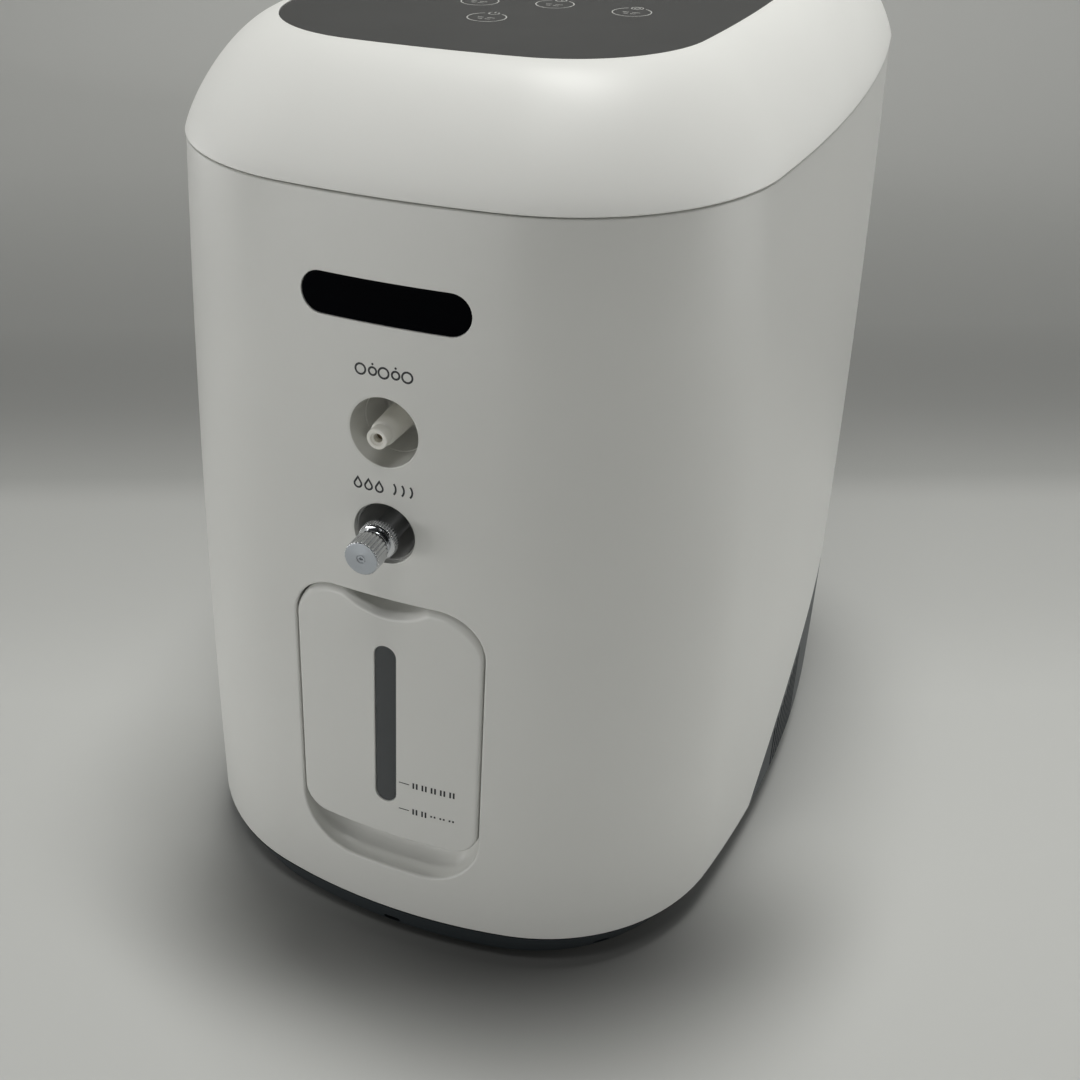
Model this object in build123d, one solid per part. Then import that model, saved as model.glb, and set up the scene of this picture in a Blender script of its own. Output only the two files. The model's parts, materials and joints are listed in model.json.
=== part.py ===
from build123d import *
import os
from collections import namedtuple
from math import cos, hypot, pi, radians, sin, sqrt, tan

# Bedside oxygen concentrator, in millimetres.
# +Z is up, -Y is the front and +X is the right-hand side seen from the front.
# The origin is on the floor, in the middle of the machine's overall width and depth.

# ---------------------------------------------------------------- driving dimensions
wall = 2.5                    # moulded housing wall
tub_floor_z = 1.5             # underside of the base tray
base_seam_z = 14.5            # joint between base tray and white shell
cap_seam_z = 266.5            # joint between white shell and top cap
panel_z = 297.7               # rim of the cap round the touch panel

base_half_width = 106.2
base_depth = 302.8
seam_half_width = 95.0
seam_front_lean = 8.6         # how far the front leans back from base seam to cap seam
seam_back_lean = 3.6
side_bulge = 1.9              # barrel of the sides at mid height
panel_half_width = 68.4
panel_front_margin = 29.8     # from the front of the cap seam back to the touch panel

base_radii = (193.0, 488.0, 72.0)      # front and back, sides, corners
seam_radii = (303.0, 690.0, 64.6)
panel_radii = (347.0, 600.0, 41.3)

tub_front_taper = 5.6         # how far the base tray draws in from its seam to the floor
tub_side_taper = 8.6
foot_round = 1.6              # rounded lower edge of the base tray
cap_overhang = 0.5            # the cap stands proud of the shell by this much
cap_rise_power = 1.25         # shape of the dome from seam to panel
cap_round_power = 1.6

display_z = 238.2
display_length = 51.0
display_height = 12.0
oxygen_z = 200.0
oxygen_well_radius = 11.5
atomizer_z = 167.0
atomizer_well_radius = 10.7
well_depth = 21.0

cover_half_width = 32.2
cover_top_z = 143.4
cover_bottom_z = 48.8
cover_top_corner = 15.0
cover_bottom_corner = 9.0
cover_gap = 0.5
cover_depth = 9.0
notch_half_width = 13.9
notch_drop = 4.6
window_top_z = 126.4
window_bottom_z = 63.6
window_half_width = 3.75
recess_bottom_z = 34.2
recess_corner = 20.0

arch_start = -48.0            # where the side arch leaves the base seam, from the body's middle
arch_centre = (66.5, -85.2)   # centre of the arch's circle in the side view
arch_radius = 151.8
seam_gap = 0.4

spigot_reach = 4.2            # how far the oxygen spigot stands out of the front
knob_reach = 14.9             # how far the atomizer cap stands out of the front
knob_radius = 5.5
lock_ring_radius = 6.1
lock_ring_front = 5.0         # front and back of the lock ring, out from the front
lock_ring_back = 2.0
thread_radius = 3.5
thread_clearance = 0.05
thread_reach = 12.1           # how far the threaded end stands out of the front
spigot_radius = 3.2
spigot_land = 3.4             # length of the spigot's plain tip
spigot_step_radius = 3.8
stem_radius = 4.2             # both nozzles where they pass through their cups
nozzle_bore = 1.3
flange_radius = 6.5
flange_thickness = 2.0
stub_radius = 3.4
stub_length = 10.0

cup_wall = 1.2
drum_radius = 17.0            # the drum that hollows the recess below the cover
drum_rise = 16.0              # height of its axis above the recess lip
sill_depth = 15.0
bay_half_width = 33.0
bay_top_z = 151.0
bay_wall = 2.0
bay_length = 85.0
tank_half_width = 28.8
tank_top_z = 132.0
tank_wall = 2.0
lid_thickness = 3.0

filter_z = 150.0
filter_size = (84.0, 64.0)
grip_z = 232.0
grip_size = (100.0, 30.0)
grip_depth = 22.0
service_z = 39.0
service_size = (104.0, 38.0)
tray_floor = 4.5              # thickness of the base tray's floor
vent_count = 9
vent_pitch = 4.0
vent_width = 2.0
vent_start = -22.0            # first vent, from the body's middle
vent_margin = 1.0             # web between the vents and the fold below them
notch_turn = 46.0             # how far round the corner arc each foot notch sits, in degrees
notch_z = 4.4
notch_size = (6.5, 3.0)
notch_depth = 3.0

compressor_back = 42.0        # compressor axis behind the body's middle
compressor_z = 62.0
motor_radius = 36.0
motor_half_length = 38.0
rotor_radius = 24.0
shaft_radius = 4.0
bearing_radius = 11.0
bearing_clearance = 0.03
crankcase_length = 32.0
cylinder_x = 56.0
cylinder_radius = 17.0
piston_radius = 12.9
eccentric_radius = 10.0
eccentric_offset = 4.0
fan_back = 30.0
fan_size = 60.0
fan_z = 150.0
fan_height = 20.0
bed_x = 60.0
bed_back = 88.0
bed_radius = 24.0
chassis_half_width = 74.0

knob_front_lean = seam_front_lean * (atomizer_z - base_seam_z) / (cap_seam_z - base_seam_z)
body_y = (knob_reach - knob_front_lean) / 2    # centres the overall depth on the origin

Outline = namedtuple("Outline", "half_width front back front_radius side_radius corner_radius")


# ---------------------------------------------------------------- outer form
def lerp(low, high, share):
    return low + (high - low) * share


def blend(low, high, share):
    return Outline(*(lerp(a, b, share) for a, b in zip(low, high)))


def inset(outline, amount):
    return Outline(
        outline.half_width - amount,
        outline.front + amount,
        outline.back - amount,
        outline.front_radius - amount,
        outline.side_radius - amount,
        outline.corner_radius - amount,
    )


base_outline = Outline(base_half_width, body_y - base_depth / 2, body_y + base_depth / 2, *base_radii)
seam_outline = Outline(
    seam_half_width, base_outline.front + seam_front_lean, base_outline.back - seam_back_lean, *seam_radii
)
panel_outline = Outline(
    panel_half_width,
    seam_outline.front + panel_front_margin,
    seam_outline.back - panel_front_margin,
    *panel_radii,
)


def shell_outline(z):
    """The housing's plan outline at a height below the cap seam."""
    share = (z - base_seam_z) / (cap_seam_z - base_seam_z)
    outline = blend(base_outline, seam_outline, share)
    bulge = 4 * side_bulge * share * (1 - share)
    return outline._replace(half_width=outline.half_width + bulge)


def tub_outline(z):
    """The base tray's plan outline below the base seam, drawn in more at the sides than at the ends."""
    share = (base_seam_z - z) / (base_seam_z - tub_floor_z)
    drawn_in = inset(shell_outline(base_seam_z), tub_front_taper * share)
    return drawn_in._replace(half_width=drawn_in.half_width - (tub_side_taper - tub_front_taper) * share)


def cap_outline(z):
    """The domed cap's plan outline, from the seam up to the touch panel."""
    share = min(1.0, max(0.0, (z - cap_seam_z) / (panel_z - cap_seam_z)))
    inward = 1 - (1 - share**cap_rise_power) ** (1 / cap_round_power)
    return blend(inset(seam_outline, -cap_overhang), panel_outline, inward)


def corner_centre(outline):
    """Centre of the front right corner arc, which is tangent to the front arc and the side arc."""
    middle = (outline.front + outline.back) / 2
    arc_y = outline.front + outline.front_radius
    arc_x = outline.half_width - outline.side_radius
    to_front = outline.front_radius - outline.corner_radius
    to_side = outline.side_radius - outline.corner_radius
    apart = hypot(arc_x, middle - arc_y)
    along = (to_front**2 - to_side**2 + apart**2) / (2 * apart)
    across = sqrt(to_front**2 - along**2)
    unit_x = arc_x / apart
    unit_y = (middle - arc_y) / apart
    return unit_x * along - unit_y * across, arc_y + unit_y * along + unit_x * across


def outline_face(outline, z):
    """A flat face with four long arcs joined by four tangent corner arcs."""
    middle = (outline.front + outline.back) / 2
    centre_x, centre_y = corner_centre(outline)
    front_dx, front_dy = centre_x, centre_y - (outline.front + outline.front_radius)
    side_dx, side_dy = centre_x - (outline.half_width - outline.side_radius), centre_y - middle
    front_unit = (front_dx / hypot(front_dx, front_dy), front_dy / hypot(front_dx, front_dy))
    side_unit = (side_dx / hypot(side_dx, side_dy), side_dy / hypot(side_dx, side_dy))
    mid_dx, mid_dy = front_unit[0] + side_unit[0], front_unit[1] + side_unit[1]
    radius = outline.corner_radius
    front_point = (centre_x + radius * front_unit[0], centre_y + radius * front_unit[1])
    side_point = (centre_x + radius * side_unit[0], centre_y + radius * side_unit[1])
    mid_point = (
        centre_x + radius * mid_dx / hypot(mid_dx, mid_dy),
        centre_y + radius * mid_dy / hypot(mid_dx, mid_dy),
    )

    def place(point, sign_x, sign_y):
        return Vector(sign_x * point[0], middle + sign_y * (point[1] - middle), z)

    def arc(start, through, end):
        return Edge.make_three_point_arc(start, through, end)

    front = Vector(0, outline.front, z)
    right = Vector(outline.half_width, middle, z)
    back = Vector(0, outline.back, z)
    left = Vector(-outline.half_width, middle, z)
    edges = [
        arc(place(front_point, -1, 1), front, place(front_point, 1, 1)),
        arc(place(front_point, 1, 1), place(mid_point, 1, 1), place(side_point, 1, 1)),
        arc(place(side_point, 1, 1), right, place(side_point, 1, -1)),
        arc(place(side_point, 1, -1), place(mid_point, 1, -1), place(front_point, 1, -1)),
        arc(place(front_point, 1, -1), back, place(front_point, -1, -1)),
        arc(place(front_point, -1, -1), place(mid_point, -1, -1), place(side_point, -1, -1)),
        arc(place(side_point, -1, -1), left, place(side_point, -1, 1)),
        arc(place(side_point, -1, 1), place(mid_point, -1, 1), place(front_point, -1, 1)),
    ]
    return Face(Wire(edges))


def lofted(outline_at, heights, amount=0.0):
    """A solid through the plan outlines at the given heights, set in by the given amount."""
    faces = [outline_face(inset(outline_at(z), amount), z) for z in heights]
    return Part(loft(faces).wrapped)


def even_steps(low, high, count):
    return [lerp(low, high, index / (count - 1)) for index in range(count)]


def shell_form(amount=0.0, low=base_seam_z, high=cap_seam_z):
    return lofted(shell_outline, even_steps(low, high, 5), amount)


def tub_form(amount=0.0, low=tub_floor_z):
    return lofted(tub_outline, [low, base_seam_z], amount)


def front_y(z, x=0.0):
    """Y of the housing's front surface at a height and a distance from the middle."""
    outline = shell_outline(z)
    return outline.front + outline.front_radius - sqrt(outline.front_radius**2 - x**2)


def back_y(z, x=0.0):
    outline = shell_outline(z)
    return outline.back - outline.front_radius + sqrt(outline.front_radius**2 - x**2)


# ---------------------------------------------------------------- small shape helpers
def block(low, high):
    """A box between two opposite corners."""
    size = [b - a for a, b in zip(low, high)]
    middle = [(a + b) / 2 for a, b in zip(low, high)]
    return Pos(*middle) * Box(*size)


def along_y(sketch, y_low, y_high):
    """A sketch drawn in X and Z, made solid between two values of Y."""
    plane = Plane(origin=(0, y_high, 0), x_dir=(1, 0, 0), z_dir=(0, -1, 0))
    return extrude(plane * sketch, amount=y_high - y_low)


def along_x(sketch, x_low, x_high):
    """A sketch drawn in Y and Z, made solid between two values of X."""
    plane = Plane(origin=(x_low, 0, 0), x_dir=(0, 1, 0), z_dir=(1, 0, 0))
    return extrude(plane * sketch, amount=x_high - x_low)


def rod_y(radius, x, z, y_low, y_high):
    return along_y(Pos(x, z) * Circle(radius), y_low, y_high)


def rod_x(radius, y, z, x_low, x_high):
    return along_x(Pos(y, z) * Circle(radius), x_low, x_high)


def rod_z(radius, x, y, z_low, z_high):
    return Pos(x, y, (z_low + z_high) / 2) * Cylinder(radius, z_high - z_low)


def hose(points, radius, bore):
    """A flexible tube through a few points, with a round bend at each inner point."""
    bends = []
    for before, corner, after in zip(points, points[1:], points[2:]):
        run_in = (Vector(*corner) - Vector(*before)).length
        run_out = (Vector(*after) - Vector(*corner)).length
        turn = radians((Vector(*corner) - Vector(*before)).get_angle(Vector(*after) - Vector(*corner)))
        bends.append(0.45 * min(run_in, run_out) / tan(turn / 2))
    path = FilletPolyline(*points, radius=bends)
    ring = Circle(radius) - Circle(bore)
    return sweep(Plane(path @ 0, z_dir=path % 0) * ring, path=path)


def group(pieces):
    return Compound(children=[Part(piece.wrapped) for piece in pieces])


# ---------------------------------------------------------------- housing
def below_arch(drop):
    """Everything below the base seam and the side arches, lowered by drop."""
    start_y = body_y + arch_start
    top_y = body_y + arch_centre[0]
    arch_top_z = arch_centre[1] + arch_radius
    half_turn = radians(24)
    through = (top_y - arch_radius * sin(half_turn), arch_centre[1] + arch_radius * cos(half_turn) - drop)
    far = 200.0
    edges = [
        Line((-far, -far), (-far, base_seam_z - drop)),
        Line((-far, base_seam_z - drop), (start_y, base_seam_z - drop)),
        ThreePointArc((start_y, base_seam_z - drop), through, (top_y, arch_top_z - drop)),
        Line((top_y, arch_top_z - drop), (far, arch_top_z - drop)),
        Line((far, arch_top_z - drop), (far, -far)),
        Line((far, -far), (-far, -far)),
    ]
    return along_x(make_face(edges), -far, far)


def stadium(length, height, z):
    """A slot with round ends, lying flat when it is longer than it is high."""
    slot = SlotOverall(max(length, height), min(length, height))
    return Pos(0, z) * (slot if length > height else Rot(0, 0, 90) * slot)


def rounded(size, radius, z, gap=0.0):
    return Pos(0, z) * RectangleRounded(size[0] + 2 * gap, size[1] + 2 * gap, radius + gap)


def cover_sketch(gap=0.0):
    """Front view of the humidifier cover: a panel with rounder shoulders than feet."""
    height = cover_top_z - cover_bottom_z + 2 * gap
    panel = Rectangle(2 * (cover_half_width + gap), height)
    panel = fillet(panel.vertices().sort_by(Axis.Y)[2:], cover_top_corner + gap)
    panel = fillet(panel.vertices().sort_by(Axis.Y)[:2], cover_bottom_corner + gap)
    return Pos(0, (cover_top_z + cover_bottom_z) / 2) * panel


def notched_cover_sketch():
    """The cover's front view with the shallow finger notch in its top edge."""
    radius = (notch_half_width**2 + notch_drop**2) / (2 * notch_drop)
    panel = cover_sketch() - Pos(0, cover_top_z - notch_drop + radius) * Circle(radius)
    corners = [v for v in panel.vertices() if v.Y > cover_top_z - 1]
    shoulders = [v for v in corners if abs(abs(v.X) - notch_half_width) < 0.5]
    return fillet(shoulders, notch_drop)


def recess_sketch(gap=0.0):
    """Front view of the scooped recess round the lower end of the cover."""
    half_width = cover_half_width + cover_gap + gap
    top_z = cover_bottom_z + recess_corner
    bottom_z = recess_bottom_z - gap
    panel = Rectangle(2 * half_width, top_z - bottom_z)
    panel = fillet(panel.vertices().sort_by(Axis.Y)[:2], recess_corner)
    return Pos(0, (top_z + bottom_z) / 2) * panel


def make_body_shell(outer):
    lip_y = front_y(recess_bottom_z)
    before = lip_y - 20
    shell = outer - below_arch(0) - shell_form(wall, base_seam_z - 0.01, cap_seam_z + 0.01)

    # neck round the humidifier opening, and the sill below it, hollowed by a drum lying across the front
    neck = along_y(cover_sketch(cover_gap + wall), before, bay_front_y) & outer
    sill = along_y(recess_sketch(wall), before, bay_front_y) & outer
    drum_y = lip_y - sqrt(drum_radius**2 - drum_rise**2)
    drum = rod_x(drum_radius, drum_y, recess_bottom_z + drum_rise, -60, 60)
    shell = shell + neck + sill - (along_y(recess_sketch(), before, bay_front_y) & drum)
    shell -= along_y(cover_sketch(cover_gap), before, bay_front_y + 1)

    shell -= along_y(stadium(display_length + 0.2, display_height + 0.2, display_z), before, before + 50)
    for well_z, well_radius in wells:
        shell -= rod_y(well_radius, 0, well_z, before, before + 50)
    rear = back_y(grip_z)
    shell -= along_y(rounded(grip_size, 12, grip_z, 0.1), rear - 20, rear + 20)
    shell -= along_y(rounded(filter_size, 10, filter_z, 0.3), rear - 20, rear + 20)
    return shell


def make_top_cap():
    heights = [lerp(cap_seam_z, panel_z, sin(pi / 2 * step / 10)) for step in range(11)]
    cavity_top_z = panel_z - 7.7
    cap = lofted(cap_outline, heights)
    cap -= lofted(cap_outline, even_steps(cap_seam_z - 0.01, cavity_top_z, 6), 3.2)
    cap -= block((-200, -200, cap_seam_z - 1), (200, 200, cap_seam_z + seam_gap))
    tongue = shell_form(wall + 0.3, cap_seam_z - 7, cap_seam_z)
    tongue -= shell_form(wall + 2.0, cap_seam_z - 8, cap_seam_z + 1)
    link = lofted(lambda z: inset(seam_outline, wall + 0.3), [cap_seam_z - 0.5, cap_seam_z + 2])
    link -= lofted(lambda z: inset(seam_outline, wall + 2.0), [cap_seam_z - 1, cap_seam_z + 3])
    cap = cap + tongue + link
    pocket = extrude(outline_face(panel_outline, panel_z - 5.1), amount=10)
    return cap - pocket


def make_touch_panel():
    return extrude(outline_face(inset(panel_outline, 0.3), panel_z - 3.5), amount=3.2)


def make_touch_board():
    return extrude(outline_face(inset(panel_outline, 3.0), panel_z - 5.1), amount=1.6)


def make_display_window():
    window = along_y(stadium(display_length, display_height, display_z), -200, 0) & shell_form(0.2)
    return window - shell_form(wall)


def make_display_board():
    back = front_y(display_z) + 6
    board = block((-30, back, display_z - 9), (30, back + 1.6, display_z + 9))
    digits = block((-24, back - 2.2, display_z - 4.5), (24, back, display_z + 4.5))
    return board + digits


def make_port_cup(outer, well_z, well_radius):
    front = front_y(well_z)
    floor_y = front + well_depth
    outside = rod_y(well_radius - 0.1, 0, well_z, front - 20, floor_y + cup_wall) & outer
    inside = rod_y(well_radius - cup_wall, 0, well_z, front - 20, floor_y)
    return outside - inside - rod_y(stem_radius, 0, well_z, front, floor_y + 10)


def turned(profile, z):
    """A piece turned about a front-to-back axis; the profile gives (radius, y) pairs."""
    face = make_face(Polyline(*profile, close=True))
    return Pos(0, 0, z) * revolve(face, Axis.Y)


def nozzle_root(root):
    """The part of a nozzle's profile behind its cup: a flange and a stub for the hose."""
    return [
        (stem_radius, root),
        (flange_radius, root),
        (flange_radius, root + flange_thickness),
        (stub_radius, root + flange_thickness),
        (stub_radius, root + stub_length),
        (nozzle_bore, root + stub_length),
    ]


def make_oxygen_nozzle():
    """A hose spigot: a plain land at its tip, one step, and a gentle cone down to the stem."""
    tip = front_y(oxygen_z) - spigot_reach
    root = front_y(oxygen_z) + well_depth + cup_wall
    front = [
        (nozzle_bore, tip),
        (spigot_radius, tip),
        (spigot_radius, tip + spigot_land),
        (spigot_step_radius, tip + spigot_land),
        (stem_radius, front_y(oxygen_z) + well_depth),
    ]
    return turned(front + nozzle_root(root), oxygen_z)


def make_atomizer_nozzle():
    """A metal outlet with a threaded end for its screw cap."""
    surface = front_y(atomizer_z)
    front = [
        (nozzle_bore, surface - thread_reach),
        (thread_radius, surface - thread_reach),
        (thread_radius, surface - lock_ring_back),
        (stem_radius, surface - lock_ring_back),
    ]
    return turned(front + nozzle_root(surface + well_depth + cup_wall), atomizer_z)


def knurled(radius, depth, count, y_low, y_high):
    """A round bar with straight V grooves along its length."""
    points = []
    for index in range(2 * count):
        reach = radius if index % 2 == 0 else radius - depth
        turn = pi * index / count
        points.append((reach * cos(turn), atomizer_z + reach * sin(turn)))
    return along_y(make_face(Polyline(*points, close=True)), y_low, y_high)


def make_lock_ring():
    front = front_y(atomizer_z)
    ring = knurled(lock_ring_radius, 0.3, 40, front - lock_ring_front, front - lock_ring_back)
    return ring - rod_y(thread_radius, 0, atomizer_z, front - 10, front)


def make_knurled_cap():
    face = front_y(atomizer_z) - knob_reach
    cap = knurled(knob_radius, 0.35, 28, face + 0.6, face + 9.3)
    cap += rod_y(knob_radius - 0.35, 0, atomizer_z, face, face + 0.6)
    cap -= rod_y(thread_radius + thread_clearance, 0, atomizer_z, face + 1.6, face + 10)
    return cap - rod_y(0.5, 0, atomizer_z, face - 1, face + 0.3)


def make_cap_washer():
    face = front_y(atomizer_z) - knob_reach
    washer = rod_y(thread_radius - 0.2, 0, atomizer_z, face + 1.7, face + 2.7)
    return washer - rod_y(1.6, 0, atomizer_z, face, face + 4)


def make_base_tray(outer):
    floor_z = tub_floor_z + tray_floor
    tub = tub_form()
    tub = fillet(tub.faces().sort_by(Axis.Z)[0].edges(), foot_round)
    tray = (tub + outer) & below_arch(seam_gap)
    tray -= tub_form(wall, floor_z) + shell_form(wall, base_seam_z, 100)

    # vents in the side wings, shorter towards the front where the arch is lower
    for index in range(vent_count):
        from_middle = vent_start + vent_pitch * index
        y = body_y + from_middle
        arch_z = arch_centre[1] + sqrt(arch_radius**2 - (from_middle - arch_centre[0]) ** 2)
        low = (-200, y - vent_width / 2, base_seam_z + vent_margin)
        tray -= block(low, (200, y + vent_width / 2, arch_z - 4 * vent_margin))

    # small notches round the foot: one in the middle and one at each corner, front and back
    outline = tub_outline(notch_z)
    notch = along_y(stadium(*notch_size, notch_z), outline.front - 5, outline.front + notch_depth)
    centre_x, centre_y = corner_centre(outline)
    corner_notch = along_y(
        stadium(*notch_size, notch_z), -outline.corner_radius - 5, notch_depth - outline.corner_radius
    )
    corner_notch = Pos(centre_x, centre_y, 0) * (Rot(0, 0, 90 - notch_turn) * corner_notch)
    for side in (notch, corner_notch, mirror(corner_notch, Plane.YZ)):
        tray -= side
        tray -= mirror(side, Plane.XZ.offset(-body_y))

    # opening for the service panel, foot sockets, and screw bosses
    tray -= along_y(rounded(service_size, 3, service_z), back_y(service_z) - 20, back_y(service_z) + 20)
    for x, y in foot_places:
        tray -= rod_z(foot_radius + 0.1, x, y, 0, 4.1)
    for x, y in base_screw_places:
        tray += rod_z(5, x, y, floor_z - 0.5, chassis_z)
        tray -= rod_z(screw_radius + 0.05, x, y, 0, chassis_z + 1)
        tray -= rod_z(3.2, x, y, 0, tub_floor_z + 2)
    return tray


def make_rubber_feet():
    feet = []
    for x, y in foot_places:
        foot = rod_z(foot_radius, x, y, 0, 4.0)
        feet.append(fillet(foot.edges().sort_by(Axis.Z)[0], 1.0))
    return group(feet)


def make_base_screws():
    screws = []
    for x, y in base_screw_places:
        head = rod_z(3.0, x, y, tub_floor_z + 0.2, tub_floor_z + 2)
        shank = rod_z(screw_radius, x, y, tub_floor_z + 2, chassis_z + 4)
        slot = block((x - 2, y - 0.4, tub_floor_z), (x + 2, y + 0.4, tub_floor_z + 1))
        screws.append(head + shank - slot)
    return group(screws)


# ---------------------------------------------------------------- humidifier tank
def make_tank_bay():
    back = bay_front_y + bay_length
    outside = block(
        (-bay_half_width - bay_wall, bay_front_y, bay_floor_z - bay_wall),
        (bay_half_width + bay_wall, back, bay_top_z + bay_wall),
    )
    inside = block(
        (-bay_half_width, bay_front_y - 1, bay_floor_z), (bay_half_width, back - bay_wall, bay_top_z)
    )
    bay = outside - inside

    # two sockets in the back wall that the tank's pipes plug into
    for x in port_x:
        bay += rod_y(port_radius + 2.0, x, port_z, back - bay_wall, back + 10)
        bay -= rod_y(port_radius + 0.05, x, port_z, back - bay_wall - 1, back + 6)
        bay -= rod_y(1.5, x, port_z, back, back + 12)
    return bay


def make_tank_cover():
    sketch = notched_cover_sketch()
    cover = along_y(sketch, -200, cover_back_y) & shell_form(0.0)
    hollow = along_y(offset(sketch, -wall), -200, cover_back_y + 1) & shell_form(3.0)
    cover -= hollow
    return cover - along_y(window_sketch(), -200, 0)


def window_sketch():
    middle_z = (window_top_z + window_bottom_z) / 2
    return stadium(2 * window_half_width, window_top_z - window_bottom_z, middle_z)


def make_sight_window():
    return (along_y(window_sketch(), -200, 0) & shell_form(0.4)) - shell_form(3.0)


def tank_block(gap, z_low, z_high):
    """A block with round upright corners, set in from the tank cup's outside."""
    depth = tank_back_y - cover_back_y
    sketch = RectangleRounded(2 * (tank_half_width - gap), depth - 2 * gap, 8 - gap)
    return extrude(Pos(0, (cover_back_y + tank_back_y) / 2, z_low) * sketch, amount=z_high - z_low)


def make_tank_cup():
    cup = tank_block(0, tank_floor_z, tank_top_z)
    return cup - tank_block(tank_wall, tank_floor_z + tank_wall, tank_top_z + 1)


def make_tank_lid():
    lid = tank_block(-0.5, tank_top_z, tank_top_z + lid_thickness)
    lid += tank_block(tank_wall + 0.3, tank_top_z - 5.5, tank_top_z)
    lid -= tank_block(tank_wall + 0.3, tank_top_z - 4, tank_top_z - 2) - tank_block(tank_wall + 1.5, 0, 200)
    for x in port_x:
        elbow_y = tank_back_y - 12
        lid += rod_y(port_radius, x, port_z, elbow_y - 3, tank_back_y + 8)
        lid += block((x - 4, elbow_y - 5, tank_top_z + 1), (x + 4, elbow_y + 5, port_z + 3))
        lid -= rod_y(1.5, x, port_z, elbow_y, tank_back_y + 9)
        lid -= rod_z(1.5, x, elbow_y, tank_top_z - 10, port_z)

    # tube that bubbles the gas through the water
    bubbler = rod_z(2.5, port_x[1], tank_back_y - 12, tank_floor_z + 6, tank_top_z - 5)
    return lid + bubbler - rod_z(1.5, port_x[1], tank_back_y - 12, tank_floor_z, tank_top_z)


def make_tank_seal():
    ring = tank_block(tank_wall, tank_top_z - 4, tank_top_z - 2)
    return ring - tank_block(tank_wall + 1.5, 0, 200)


# ---------------------------------------------------------------- back of the machine
def make_rear_grip(outer):
    rear = back_y(grip_z)
    grip = along_y(rounded(grip_size, 12, grip_z), rear - grip_depth, rear + 10) & outer
    return grip - along_y(rounded(grip_size, 12, grip_z, -2.5), rear - grip_depth + 2.5, rear + 20)


def make_filter_cover(outer):
    rear = back_y(filter_z)
    cover = (along_y(rounded(filter_size, 10, filter_z), rear - 20, rear + 10) & outer) - shell_form(wall)
    for index in range(9):
        z = filter_z - 22 + 5.5 * index
        cover -= along_y(stadium(60, 2.4, z), rear - 20, rear + 10)
    return cover


def make_filter_element():
    rear = back_y(filter_z)
    half_width, half_height = filter_size[0] / 2 - 4, filter_size[1] / 2 - 4
    low = (-half_width, rear - 15, filter_z - half_height)
    return block(low, (half_width, rear - 8, filter_z + half_height))


def make_filter_tray():
    rear = back_y(filter_z)
    tray = along_y(rounded(filter_size, 10, filter_z, 4), rear - 18, rear + 10) & shell_form(wall + 0.05)
    tray -= along_y(rounded(filter_size, 10, filter_z, 0.3), rear - 16, rear + 20)
    return tray - rod_y(2, -30, filter_z, rear - 30, rear)


def make_service_panel(outer):
    """The sunk tray in the back that carries the mains inlet, fuse and switch."""
    tray = along_y(rounded(service_size, 3, service_z, -0.1), service_y - 2, service_y + 30) & outer
    tray -= along_y(rounded(service_size, 3, service_z, -2.0), service_y, service_y + 40)
    tray -= block((inlet_x - 13.6, 0, service_z - 10.1), (inlet_x + 13.6, 200, service_z + 10.1))
    tray -= rod_y(fuse_radius + 0.1, 0, service_z, 0, 200)
    return tray - block((rocker_x - 9.6, 0, service_z - 13.1), (rocker_x + 9.6, 200, service_z + 13.1))


def service_block(x, half_width, half_height, behind, ahead):
    """A block centred on the service panel's height, between two depths from the panel's face."""
    low = (x - half_width, service_y + behind, service_z - half_height)
    return block(low, (x + half_width, service_y + ahead, service_z + half_height))


def make_power_inlet():
    """An appliance inlet: flanged body, socket and three flat pins."""
    inlet = service_block(inlet_x, 15.5, 12, 0, 3) + service_block(inlet_x, 13.5, 10, -16, 0)
    inlet -= service_block(inlet_x, 12.2, 8.2, -12, 4)
    for pin_x, pin_z in ((-7, 1.5), (0, 5.5), (7, 1.5)):
        low = (inlet_x + pin_x - 1, service_y - 20, service_z + pin_z - 2)
        inlet += block(low, (inlet_x + pin_x + 1, service_y, service_z + pin_z + 2))
    return inlet


def make_switch_bezel():
    bezel = service_block(rocker_x, 11, 14.5, 0, 2) + service_block(rocker_x, 9.5, 13, -15, 0)
    bezel -= service_block(rocker_x, 7.5, 10.5, -11, 3)
    pin_hole_end = rocker_pin_half_length + 0.3
    pin_hole_radius = rocker_pin_radius + 0.05
    pin_y = service_y - rocker_sink
    return bezel - rod_x(pin_hole_radius, pin_y, service_z, rocker_x - pin_hole_end, rocker_x + pin_hole_end)


def make_rocker():
    """The rocker turns on a cross pin and stands tilted to its off side."""
    paddle = block((-7.1, -4, -9.4), (7.1, 4, 9.4))
    paddle -= Pos(0, 32, 0) * (Rot(0, 90, 0) * Cylinder(29, 40))
    paddle += rod_x(rocker_pin_radius, 0, 0, -rocker_pin_half_length, rocker_pin_half_length)
    return Pos(rocker_x, service_y - rocker_sink, service_z) * (Rot(rocker_tilt, 0, 0) * paddle)


def make_fuse_holder():
    holder = rod_y(fuse_radius + 2, 0, service_z, service_y, service_y + 2)
    holder += rod_y(fuse_radius, 0, service_z, service_y - 22, service_y)
    return holder - rod_y(fuse_radius - 1.4, 0, service_z, service_y - 20, service_y + 3)


def make_fuse_cap():
    cap = rod_y(fuse_radius - 1.45, 0, service_z, service_y - 6, service_y + 4)
    return cap - block((-4, service_y + 2.8, service_z - 0.6), (4, service_y + 5, service_z + 0.6))


def make_fuse():
    return rod_y(2.6, 0, service_z, service_y - 19.5, service_y - 6.2)


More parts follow.
